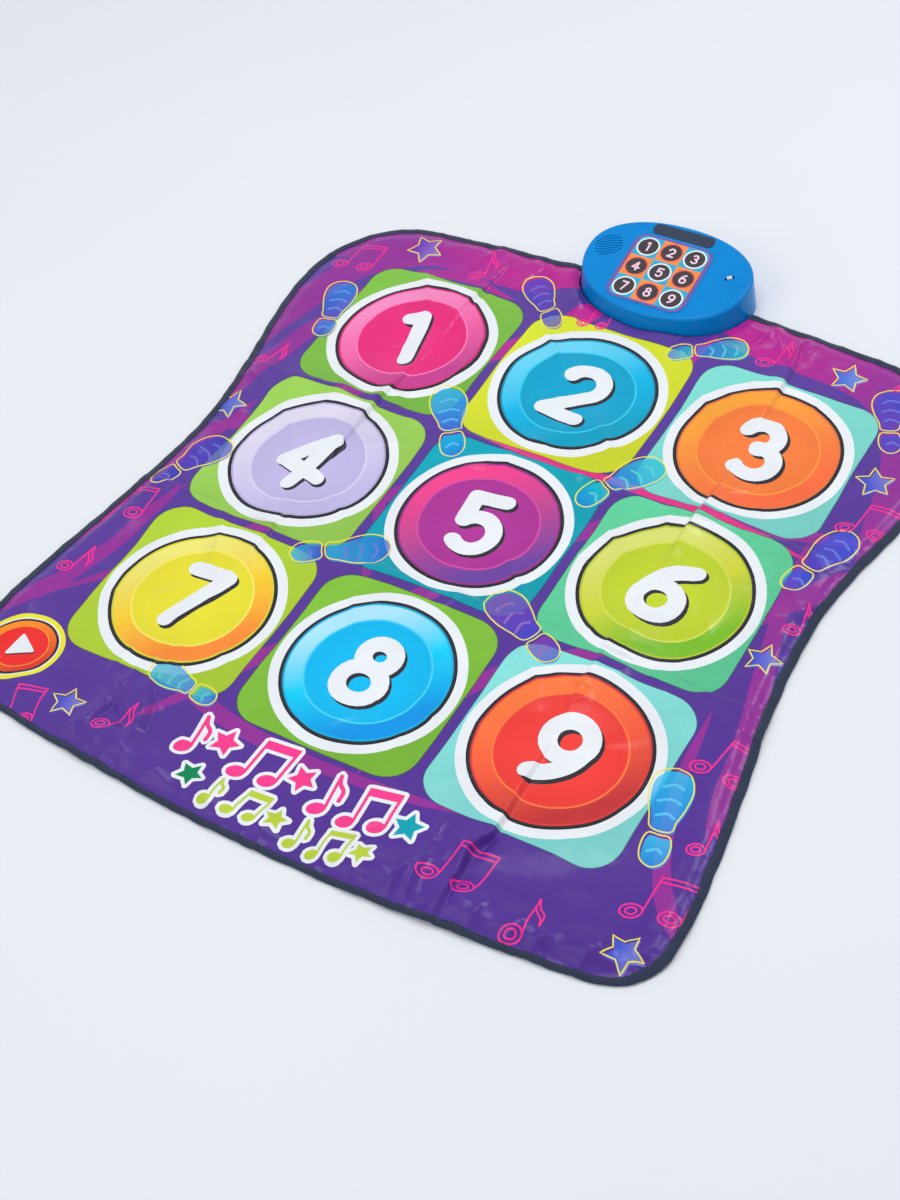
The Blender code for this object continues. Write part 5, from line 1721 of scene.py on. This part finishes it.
def tape_profile(width):
    """The folded tape's closed section as distances inside the edge and heights, from its hem."""
    top = TAPE_HEIGHT
    outer = [(width, top - 0.35 * MM), (width - 0.3 * MM, top + 0.1 * MM),
             (width - 1.2 * MM, top + 0.12 * MM), (width - 2.1 * MM, top - 0.2 * MM),
             (width - 3.1 * MM, top + 0.1 * MM), (0.5 * width, top + 0.25 * MM), (1.8 * MM, top),
             (0.7 * MM, top - 0.55 * MM), (0.15 * MM, top - 1.1 * MM), (0, top / 2),
             (0.15 * MM, 1.0 * MM), (0.7 * MM, 0.4 * MM), (1.8 * MM, 0.08 * MM), (0.6 * width, 0.0),
             (width, 0.0)]
    inner = [(width, TAPE), (2.0 * MM, TAPE + 0.1 * MM), (1.0 * MM, 1.3 * MM),
             (0.9 * MM, top - 1.4 * MM), (1.9 * MM, top - 0.8 * MM), (width, top - TAPE - 0.1 * MM)]
    return np.array(outer + inner)


def tape_widths(order):
    """How wide the tape shows at each point of the edge, narrower where the front rolls over."""
    marks = EDGE.marks[order]
    front = smooth(-EDGE.points[order, 1], 425 * MM, 470 * MM)
    waves = sum(np.sin(marks * 2 * pi / size + k) for k, size in enumerate((0.19, 0.11, 0.047)))
    return TAPE_WIDTH * (0.93 - 0.26 * front) + 0.28 * MM * waves


def tape_rises(order):
    """How far the film lifts the tape at four distances inside the edge."""
    return np.stack([relief(EDGE.inset(inset))[order] for inset in TAPE_MARKS], 1)


def tape_stations():
    """The edge's points from one side of the box round to the other, in order."""
    hidden = within(EDGE.inset(5 * MM), box_outline(WALL))
    first = int(np.nonzero(hidden & ~np.roll(hidden, -1))[0][0])
    order = (np.arange(EDGE.count) + first) % EDGE.count
    return order[: int((~hidden).sum()) + 2]


def edge_tape():
    """The woven tape folded over the mat's edge, kinked where the creases cross it."""
    order = tape_stations()
    rises, widths = tape_rises(order), tape_widths(order)
    points, inward, marks = EDGE.points[order], EDGE.inward[order], EDGE.marks[order]
    profile = tape_profile(TAPE_WIDTH)
    draw = np.random.default_rng(SEED + 3)
    wander = sum(draw.uniform(0.1, 0.35) * MM * np.sin(marks * 2 * pi / size + draw.uniform(0, 6))
                 for size in (0.31, 0.17, 0.083, 0.041))
    bm = bmesh.new()
    layer = bm.loops.layers.uv.new("tape")
    lengths = np.concatenate([[0], np.cumsum(np.linalg.norm(np.diff(profile, axis=0), axis=1))])
    rows = []
    for row, (point, way, shift) in enumerate(zip(points, inward, wander)):
        ring = [bm.verts.new((0, 0, 0)) for _ in profile]
        for vert, (inset, z) in zip(ring, tape_profile(widths[row])):
            rise = np.interp(inset, TAPE_MARKS, rises[row])
            place = point + way * (inset + shift + TAPE_DRAW * rises[row][0])
            vert.co = (place[0], place[1], z + rise * (1.0 if z > TAPE else 0.93))
        rows.append(ring)
    count = len(profile)
    lengths = np.append(lengths, lengths[-1] + TAPE)
    for row in range(len(rows) - 1):
        here, ahead = rows[row], rows[row + 1]
        for k in range(count):
            after = (k + 1) % count
            face = bm.faces.new([here[k], ahead[k], ahead[after], here[after]])
            start, stop = row * Edge.STEP, (row + 1) * Edge.STEP
            for loop, uv in zip(face.loops, ((start, lengths[k]), (stop, lengths[k]),
                                             (stop, lengths[k + 1]), (start, lengths[k + 1]))):
                loop[layer].uv = uv
            face.smooth = True
    for ring in (rows[0], rows[-1]):
        bmesh.ops.contextual_create(bm, geom=ring)
    bmesh.ops.recalc_face_normals(bm, faces=bm.faces)
    piece = add_object("edge_tape", as_mesh("edge_tape", bm), tape_finish())
    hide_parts("edge_binding")
    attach(piece, "mat_and_box")
    return piece


def stitches():
    """The lock stitches along the tape's inner edge."""
    order = tape_stations()
    rises, widths = tape_rises(order), tape_widths(order)
    lifted = np.array([np.interp(width - STITCH_INSET, TAPE_MARKS, rise)
                       for width, rise in zip(widths, rises)])
    points, inward, along = EDGE.points[order], EDGE.inward[order], EDGE.along[order]
    rows = points + inward * (widths - STITCH_INSET + TAPE_DRAW * rises[:, 0])[:, None]
    marks = np.arange(len(order)) * Edge.STEP
    bm = bmesh.new()
    pitch = settings().stitch_pitch
    length = pitch * STITCH_SHARE
    for mark in np.arange(6 * MM, marks[-1] - 6 * MM, pitch):
        x, y = (np.interp(mark, marks, rows[:, k]) for k in (0, 1))
        step = int(mark / Edge.STEP)
        rise = np.interp(mark, marks, lifted)
        ahead = min(step + 1, len(order) - 1)
        climb = (lifted[ahead] - lifted[step]) / Edge.STEP
        way = Vector((along[step][0], along[step][1], climb)).normalized()
        made = bmesh.ops.create_cone(bm, cap_ends=True, segments=5, radius1=THREAD_RADIUS,
                                     radius2=THREAD_RADIUS, depth=length)
        turn = Vector((0, 0, 1)).rotation_difference(way).to_matrix().to_4x4()
        place = Matrix.Translation((x, y, TAPE_HEIGHT + rise))
        bmesh.ops.transform(bm, matrix=place @ turn, verts=made["verts"])
    for face in bm.faces:
        face.smooth = True
    piece = add_object("tape_stitches", as_mesh("tape_stitches", bm), thread_finish())
    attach(piece, "mat_and_box")
    return piece


# The control box


def solid(loops):
    """A closed bmesh: a face on the first loop of points, extruded from each loop to the next."""
    bm = bmesh.new()
    face = bm.faces.new([bm.verts.new(point) for point in loops[0]])
    for step, loop in enumerate(loops[1:]):
        grown_part = bmesh.ops.extrude_face_region(bm, geom=[face])["geom"]
        if step > 0:
            bmesh.ops.delete(bm, geom=[face], context="FACES_ONLY")
        face = next(item for item in grown_part if isinstance(item, bmesh.types.BMFace))
        for vert, point in zip(face.verts, loop):
            vert.co = point
    bmesh.ops.recalc_face_normals(bm, faces=bm.faces)
    return bm


def under_lid(inset, drop):
    """The box's outline at a drop below the lid's face."""
    return [Vector((x, y, lid_z(y) - drop)) for x, y in box_outline(inset)]


def level(ring, z):
    """A ring of points at one height."""
    return [Vector((x, y, z)) for x, y in ring]


def subtract(piece, cutters):
    """Cuts several solids out of a piece in one go, each a list of loops."""
    bm = bmesh.new()
    for loops in cutters:
        mesh = as_mesh("cutter", solid(loops))
        bm.from_mesh(mesh)
        bpy.data.meshes.remove(mesh)
    tool = add_object("cutters", as_mesh("cutters", bm))
    cutting = piece.modifiers.new("cut", "BOOLEAN")
    cutting.operation = "DIFFERENCE"
    cutting.solver = "EXACT"
    cutting.object = tool
    settle(piece)
    bpy.data.objects.remove(tool, do_unlink=True)


def quarter(shares):
    """The sine and cosine of each share of a quarter turn."""
    return [(sin(share * pi / 2), cos(share * pi / 2)) for share in shares]


def carried(transform, loops):
    """Loops of points moved by a transform."""
    return [[transform @ point for point in loop] for loop in loops]


def opening(place, size, corner, gap=0.0, steps=12):
    """A rounded box's ring for each growth, round a place or a piece that needs a gap."""
    return lambda g: rounded_box(place, size[0] + 2 * (gap + g), size[1] + 2 * (gap + g),
                                 corner + g, steps=steps)


def lipped(ring_of, depth, lip=0.45 * MM):
    """Loops of a cutter whose mouth flares in a small round, given a ring for each growth."""
    bite = 0.04 * MM
    loops = [level(ring_of(0), -depth), level(ring_of(0), -lip)]
    for rise, run in quarter((0.3, 0.55, 0.8, 1.0)):
        loops.append(level(ring_of(lip * (1 - run)), bite - lip + lip * rise))
    loops.append(level(ring_of(lip), 2 * MM))
    return loops


def wavy_slot(offset, growth):
    """One wavy slot of the grille, as long as its chord of the round grille."""
    half = sqrt(GRILLE_RADIUS ** 2 - offset ** 2) - SLOT_WIDTH / 2
    x = np.linspace(-half, half, 24)
    path = np.stack([x, offset + SLOT_WAVE * np.sin(pi * x / GRILLE_RADIUS)], 1)
    return beside(path, SLOT_WIDTH / 2 + growth)


def switch_matrix():
    """The turn and place of the slide switch in the lid's plane."""
    return Matrix.Translation((*SWITCH_PLACE, 0)) @ Matrix.Rotation(SWITCH_TURN, 4, "Z")


def box_shell():
    """The moulded top: a drafted oval wall under a tilted lid, open below, with its openings."""
    loops = [under_lid(DRAFT + WALL + 2.5 * MM, WALL), under_lid(DRAFT + WALL, WALL + 2.5 * MM),
             level(box_outline(WALL), BOX_FOOT), level(box_outline(0.5 * MM), BOX_FOOT),
             level(box_outline(0), BOX_FOOT + 0.5 * MM)]
    for rise, run in quarter(np.linspace(0, 1, 8)):
        loops.append(under_lid(DRAFT + EDGE_ROUND * (1 - run), EDGE_ROUND * (1 - rise)))
    flat = lid_matrix().inverted()
    loops = carried(flat, loops)
    for point in loops[-1]:
        point.z = 0
    shell = add_object("shell", as_mesh("shell", solid(loops)),
                       moulded_finish("blue_shell", tuple(settings().plastic)))
    notch = EDGE.points[::3] - EDGE.inward[::3] * NOTCH_GAP
    subtract(shell, [carried(flat, [level(notch, -5 * MM), level(notch, NOTCH_HEIGHT)])])
    grille = Matrix.Translation((*GRILLE_PLACE, 0)) @ Matrix.Rotation(GRILLE_TURN, 4, "Z")
    offsets = [(k - (SLOT_COUNT - 1) / 2) * SLOT_PITCH for k in range(SLOT_COUNT)]
    openings = [carried(grille, lipped(lambda g, o=o: wavy_slot(o, g), 2 * WALL, 0.2 * MM))
                for o in offsets]
    for ring_of in (opening(PANEL_PLACE, (PANEL_SIDE, PANEL_SIDE), PANEL_CORNER, RECESS_GAP),
                    opening(BADGE_PLACE, BADGE_SIZE, BADGE_CORNER, RECESS_GAP)):
        openings.append(lipped(ring_of, PANEL, 0.3 * MM))
    switch_at = opening((0, 0), SWITCH_SLOT, 0.8 * MM, steps=5)
    subtract(shell, openings + [carried(switch_matrix(), lipped(switch_at, 2 * WALL))])
    subtract(shell, [[level(circle(cell, WINDOW_RADIUS), z) for z in (-2 * WALL, WALL)]
                     for cell in lid_cells()])
    shell.data.transform(lid_matrix())
    finish_edges(shell)
    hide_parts("box_shell")
    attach(shell, "mat_and_box")
    return shell


def finish_edges(piece):
    """Cleans a cut mesh and shades it smooth up to its sharp edges."""
    bm = bmesh.new()
    bm.from_mesh(piece.data)
    bmesh.ops.remove_doubles(bm, verts=bm.verts, dist=0.002 * MM)
    bmesh.ops.dissolve_degenerate(bm, edges=bm.edges, dist=0.001 * MM)
    bm.to_mesh(piece.data)
    bm.free()
    piece.data.shade_smooth()
    piece.data.set_sharp_from_angle(angle=radians(28))
    weighted = piece.modifiers.new("normals", "WEIGHTED_NORMAL")
    weighted.keep_sharp = True


def lid_cells():
    """Centres of the number panel's windows, in the lid's plane."""
    x, y = PANEL_PLACE
    return [(x + (column - 1) * CELL_PITCH_X, y + (1 - row) * CELL_PITCH_Y)
            for row in range(3) for column in range(3)]


# The panel's print: how much smaller than its side each frame is, with its colour, then the two
# colours of the checks and the rings of each kind of window
LABEL_BLUE = tone(0, 132, 214)
LABEL_FRAMES = [(0, LABEL_BLUE), (1.6 * MM, tone(122, 66, 150)), (4.2 * MM, tone(44, 98, 190)),
                (6.6 * MM, tone(158, 56, 118))]
LABEL_CHECKS = [tone(24, 168, 208), tone(242, 138, 58)]
LABEL_RINGS = [[(14.6 * MM, tone(238, 244, 250))],
               [(14.4 * MM, tone(236, 106, 80)), (13.4 * MM, tone(214, 50, 70))]]
LABEL_WINDOW, LABEL_DIGIT = tone(50, 44, 48), tone(246, 206, 226)


def panel_layers():
    """The panel's print: a double frame, a checked field and nine ringed numbers."""
    layers = []
    for inset, colour in LABEL_FRAMES:
        side = PANEL_SIDE - inset
        corner = PANEL_CORNER - (PANEL_SIDE - side) / 2
        layers.append(ink(area(rounded_box(PANEL_PLACE, side, side, corner)), colour))
    field = area(rounded_box(PANEL_PLACE, 3 * CELL_PITCH_X, 3 * CELL_PITCH_Y - 1.5 * MM, 11 * MM))
    for k, (x, y) in enumerate(lid_cells()):
        patch = area(rounded_box((x, y), CELL_PITCH_X, CELL_PITCH_Y, 0.05 * MM, steps=1))
        both = Figure(lambda s, p=patch: p.covers(s) & field.covers(s), patch.lines + field.lines)
        colour = LABEL_CHECKS[k % 2]
        layers.append(ink(both, fade(times(colour, 1.05), times(colour, 0.95),
                                     (x - 0.016, y + 0.016), (x + 0.016, y - 0.016))))
    for k, cell in enumerate(lid_cells()):
        layers += [ink(disc(cell, radius), colour) for radius, colour in LABEL_RINGS[k % 2]]
        layers.append(ink(disc(cell, 12.6 * MM), LABEL_WINDOW))
        layers.append(ink(numeral_figures(k + 1, cell, 14.5 * MM, 2.4 * MM), LABEL_DIGIT))
    return layers


def number_panel():
    """The printed label over the nine windows, set into the lid."""
    ring = rounded_box(PANEL_PLACE, PANEL_SIDE, PANEL_SIDE, PANEL_CORNER, steps=14)
    layers = panel_layers()
    lines = [closed(ring)] + lines_of(layers)
    spots = grid(ring.min(0), ring.max(0), 4 * MM)
    mesh = sheet_mesh("number_label", spots[area(ring).covers(spots)], lines, LABEL_STEP,
                      lambda s: within(s, ring), layers, plain(LABEL_BLUE),
                      lambda s: np.full(len(s), PANEL_RISE))
    mesh.attributes.remove(mesh.attributes["crumple"])
    piece = add_object("number_label", mesh, label_finish(),
                       moulded_finish("label_edge", tone(40, 60, 90)))
    thicken(piece, PANEL)
    piece.data.transform(lid_matrix())
    piece.data.set_sharp_from_angle(angle=radians(40))
    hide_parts("number_panel")
    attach(piece, "mat_and_box")
    return piece


def badge():
    """The bare dark badge, a rounded bar with a soft edge."""
    ring_at = opening(BADGE_PLACE, BADGE_SIZE, BADGE_CORNER)
    soft = 0.25 * MM
    loops = [level(ring_at(0), PANEL_RISE - PANEL), level(ring_at(0), PANEL_RISE - soft)]
    for rise, run in quarter((0.4, 0.75, 1.0)):
        loops.append(level(ring_at(-soft * (1 - run)), PANEL_RISE - soft * (1 - rise)))
    finish = moulded_finish("badge_plate", tone(54, 66, 84), 0.4, 0.5 * MM, 0.02 * MM)
    mesh = as_mesh("badge_plate", solid(carried(lid_matrix(), loops)))
    piece = add_object("badge_plate", mesh, finish)
    finish_edges(piece)
    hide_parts("badge")
    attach(piece, "mat_and_box")
    return piece


# The knob's cross ribs: their pitch and depth, and how far from the middle they reach
RIB_PITCH = 0.65 * MM
RIB_DEPTH = 0.45 * MM
RIBBED = 2.7 * MM


def switch_knob():
    """The slide switch's knob, with rounded edges and cross ribs."""
    bm = bmesh.new()
    made = bmesh.ops.create_cube(bm, size=1.0)
    bmesh.ops.scale(bm, vec=(KNOB[0], KNOB[1], KNOB_RISE + WALL), verts=made["verts"])
    bmesh.ops.translate(bm, vec=(0, 0, (KNOB_RISE - WALL) / 2), verts=made["verts"])
    for k in range(-4, 5):
        bmesh.ops.bisect_plane(bm, geom=bm.verts[:] + bm.edges[:] + bm.faces[:],
                               plane_co=(k * RIB_PITCH, 0, 0), plane_no=(1, 0, 0))
    for vert in bm.verts:
        if vert.co.z > KNOB_RISE - TINY:
            if abs(vert.co.x) < RIBBED and round(vert.co.x / RIB_PITCH) % 2 != 0:
                vert.co.z -= RIB_DEPTH
    sharp = [e for e in bm.edges if e.calc_face_angle(0) > radians(20)]
    bmesh.ops.bevel(bm, geom=sharp, offset=0.16 * MM, offset_type="OFFSET", segments=2, profile=0.5,
                    affect="EDGES", material=-1)
    bmesh.ops.transform(bm, matrix=lid_matrix() @ switch_matrix(), verts=bm.verts)
    bmesh.ops.recalc_face_normals(bm, faces=bm.faces)
    piece = add_object("knob", as_mesh("knob", bm),
                       moulded_finish("silver_knob", tone(214, 220, 228), 0.3))
    finish_edges(piece)
    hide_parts("switch_knob")
    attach(piece, "switch_slider")
    return piece


# Materials of the CAD nodes that stay


def dress(names, material):
    """Gives CAD nodes a material."""
    for name in names:
        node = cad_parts[name]
        node.data.materials.clear()
        node.data.materials.append(material)


def inner_pieces():
    """Finishes for the pieces inside and under the mat and its box."""
    plastic = tuple(settings().plastic)
    dress(["box_base", "battery_door"], moulded_finish("blue_base", lighter(plastic, -0.12), 0.42))
    dress(["upper_contact_film", "lower_contact_film"], contact_film_finish())
    dress(["foam_spacer"], soft_finish("foam", tone(214, 214, 210), 0.9, 0.9 * MM, 0.15 * MM))
    contacts = ["contact_" + name[len("pad_"):] for name in ALL_PADS]
    dress(contacts, soft_finish("carbon_print", tone(34, 34, 36), 0.72, 0.6 * MM, 0.02 * MM))
    steel = metal_finish("plated_steel", tone(196, 196, 198), 0.28)
    dress([f"case_screw_{k}" for k in range(1, 5)] + ["door_screw"], steel)
    dress(["contact_strip_left", "contact_strip_right"],
          metal_finish("sprung_steel", tone(206, 204, 196), 0.32, 0.001))
    dress([f"rubber_foot_{k}" for k in range(1, 5)],
          soft_finish("foot_rubber", tone(40, 40, 42), 0.86, 0.5 * MM, 0.05 * MM))
    dress([f"cell_{k}" for k in range(1, 4)], sleeve_finish())
    dress(["circuit_board"], board_finish())
    dress([f"lamp_{k}" for k in range(1, 10)], lamp_finish())
    dress(["light_baffle", "tail_clamp"],
          moulded_finish("white_moulding", tone(226, 226, 222), 0.5))
    dress(["switch_body"], moulded_finish("black_moulding", tone(30, 30, 32), 0.5))
    dress(["loudspeaker"], soft_finish("speaker_cone", tone(34, 36, 40), 0.62, 0.7 * MM, 0.06 * MM))


# The studio


# The soft lights, each aimed at the middle of the mat: place, size in metres and watts
LAMPS = [
    ("key", (1.0, 1.9, 3.1), 1.0, 32),
    ("fill", (-1.3, -2.5, 2.4), 2.0, 20),
    ("overhead", (-0.25, -0.1, 3.4), 1.4, 29),
]
FLOOR_RADIUS = 7.0
FLOOR_DROP = 0.2 * MM
SKY = (0.93, 0.96, 1.0)
SKY_STRENGTH = 0.6


def studio():
    """The floor, the soft lights, the world and the camera."""
    bm = bmesh.new()
    bmesh.ops.create_circle(bm, cap_ends=True, segments=96, radius=FLOOR_RADIUS)
    bmesh.ops.translate(bm, vec=(0, 0, -FLOOR_DROP), verts=bm.verts)
    floor = add_object("studio_floor", as_mesh("studio_floor", bm), floor_finish())
    for name, place, size, power in LAMPS:
        data = bpy.data.lights.new(name, "AREA")
        data.shape = "SQUARE"
        data.size = size
        data.energy = power
        lamp = bpy.data.objects.new(name, data)
        lamp.location = place
        lamp.rotation_euler = (-Vector(place)).to_track_quat("-Z", "Y").to_euler()
        bpy.context.scene.collection.objects.link(lamp)
    light_world()
    place_camera()
    bpy.context.scene.view_settings.view_transform = "Standard"


def light_world():
    """A plain level of light all round, with the backdrop's colour seen behind the mat."""
    world = bpy.data.worlds.new("studio")
    bpy.context.scene.world = world
    world.use_nodes = True
    nodes, links = world.node_tree.nodes, world.node_tree.links
    light = nodes["Background"]
    light.inputs["Color"].default_value = (*SKY, 1)
    light.inputs["Strength"].default_value = SKY_STRENGTH
    seen = nodes.new("ShaderNodeBackground")
    seen.inputs["Color"].default_value = (*settings().floor, 1)
    rays = nodes.new("ShaderNodeLightPath")
    either = rays.outputs["Is Camera Ray"]
    for kind in ("Is Glossy Ray", "Is Transmission Ray"):
        larger = nodes.new("ShaderNodeMath")
        larger.operation = "MAXIMUM"
        links.new(either, larger.inputs[0])
        links.new(rays.outputs[kind], larger.inputs[1])
        either = larger.outputs[0]
    both = nodes.new("ShaderNodeMixShader")
    links.new(either, both.inputs["Fac"])
    links.new(light.outputs[0], both.inputs[1])
    links.new(seen.outputs[0], both.inputs[2])
    links.new(both.outputs[0], nodes["World Output"].inputs["Surface"])


# The camera, from the mat's straight rows in the photograph: its turn, pitch and roll, and its
# place from the middle pad on the printed face
CAMERA_TURN = radians(-38.517)
CAMERA_PITCH = radians(49.209)
CAMERA_ROLL = radians(-9.895)
CAMERA_PLACE = (829.96 * MM, -1116.16 * MM, 1493.69 * MM)
FOCAL_PIXELS = 1838.06
IMAGE_HEIGHT = 1200


def place_camera():
    """The camera at the photograph's viewing angle."""
    level_share = cos(CAMERA_PITCH)
    ahead = Vector((sin(CAMERA_TURN) * level_share, cos(CAMERA_TURN) * level_share,
                    -sin(CAMERA_PITCH)))
    right = ahead.cross(Vector((0, 0, 1))).normalized()
    up = right.cross(ahead)
    across = right * cos(CAMERA_ROLL) + up * sin(CAMERA_ROLL)
    upward = up * cos(CAMERA_ROLL) - right * sin(CAMERA_ROLL)
    data = bpy.data.cameras.new("photo_camera")
    data.sensor_width = 36
    data.lens = FOCAL_PIXELS * data.sensor_width / IMAGE_HEIGHT
    data.clip_start = 0.01
    camera = bpy.data.objects.new("photo_camera", data)
    bpy.context.scene.collection.objects.link(camera)
    turn = Matrix((across, upward, -ahead)).transposed().to_4x4()
    place = Vector(CAMERA_PLACE) + Vector((0, MIDDLE_Y, COVER_TOP))
    camera.matrix_world = Matrix.Translation(place) @ turn
    bpy.context.scene.camera = camera


# Operators and panel


class StudioOperator(bpy.types.Operator):
    """Adds the floor, the lights, the world and the camera."""

    bl_idname = "dance_mat.studio"
    bl_label = "Studio"

    def execute(self, context):
        studio()
        return {"FINISHED"}


class CoverOperator(bpy.types.Operator):
    """Adds the printed cover film with its creases and puckers."""

    bl_idname = "dance_mat.cover"
    bl_label = "Printed cover"

    def execute(self, context):
        cover_film()
        return {"FINISHED"}


class PadsOperator(bpy.types.Operator):
    """Adds the nine numbered pads and the start pad."""

    bl_idname = "dance_mat.pads"
    bl_label = "Foot pads"

    def execute(self, context):
        for name in ALL_PADS:
            pad_film(name)
        return {"FINISHED"}


class BackingOperator(bpy.types.Operator):
    """Adds the non-slip backing sheet."""

    bl_idname = "dance_mat.backing"
    bl_label = "Backing sheet"

    def execute(self, context):
        backing_sheet()
        return {"FINISHED"}


class TapeOperator(bpy.types.Operator):
    """Adds the edge tape and its stitches."""

    bl_idname = "dance_mat.tape"
    bl_label = "Edge tape"

    def execute(self, context):
        edge_tape()
        stitches()
        return {"FINISHED"}


class ShellOperator(bpy.types.Operator):
    """Adds the control box's moulded shell."""

    bl_idname = "dance_mat.shell"
    bl_label = "Box shell"

    def execute(self, context):
        box_shell()
        return {"FINISHED"}


class LidPiecesOperator(bpy.types.Operator):
    """Adds the number label, the badge and the switch knob."""

    bl_idname = "dance_mat.lid_pieces"
    bl_label = "Label, badge and knob"

    def execute(self, context):
        number_panel()
        badge()
        switch_knob()
        return {"FINISHED"}


class InnerPiecesOperator(bpy.types.Operator):
    """Gives the pieces inside and under the mat their finishes."""

    bl_idname = "dance_mat.inner_pieces"
    bl_label = "Inner pieces"

    def execute(self, context):
        inner_pieces()
        return {"FINISHED"}


class DanceMatPanel(bpy.types.Panel):
    """Lists the mat's pieces and settings in the sidebar."""

    bl_idname = "VIEW3D_PT_dance_mat"
    bl_label = "Dance mat"
    bl_space_type = "VIEW_3D"
    bl_region_type = "UI"
    bl_category = "Dance mat"

    def draw(self, context):
        for name in DanceMatSettings.__annotations__:
            self.layout.prop(context.scene.dance_mat, name)
        for operator in OPERATORS:
            self.layout.operator(operator.bl_idname)


OPERATORS = (StudioOperator, CoverOperator, PadsOperator, BackingOperator, TapeOperator,
             ShellOperator, LidPiecesOperator, InnerPiecesOperator)


def register():
    """Registers the settings, the operators and the panel."""
    for kind in (DanceMatSettings, *OPERATORS, DanceMatPanel):
        bpy.utils.register_class(kind)
    bpy.types.Scene.dance_mat = bpy.props.PointerProperty(type=DanceMatSettings)


def unregister():
    """Takes the settings, the operators and the panel away again."""
    del bpy.types.Scene.dance_mat
    for kind in (DanceMatPanel, *reversed(OPERATORS), DanceMatSettings):
        bpy.utils.unregister_class(kind)


def main():
    """Builds the whole scene."""
    register()
    for operator in OPERATORS:
        group, name = operator.bl_idname.split(".")
        getattr(getattr(bpy.ops, group), name)()


if __name__ == "__main__":
    main()
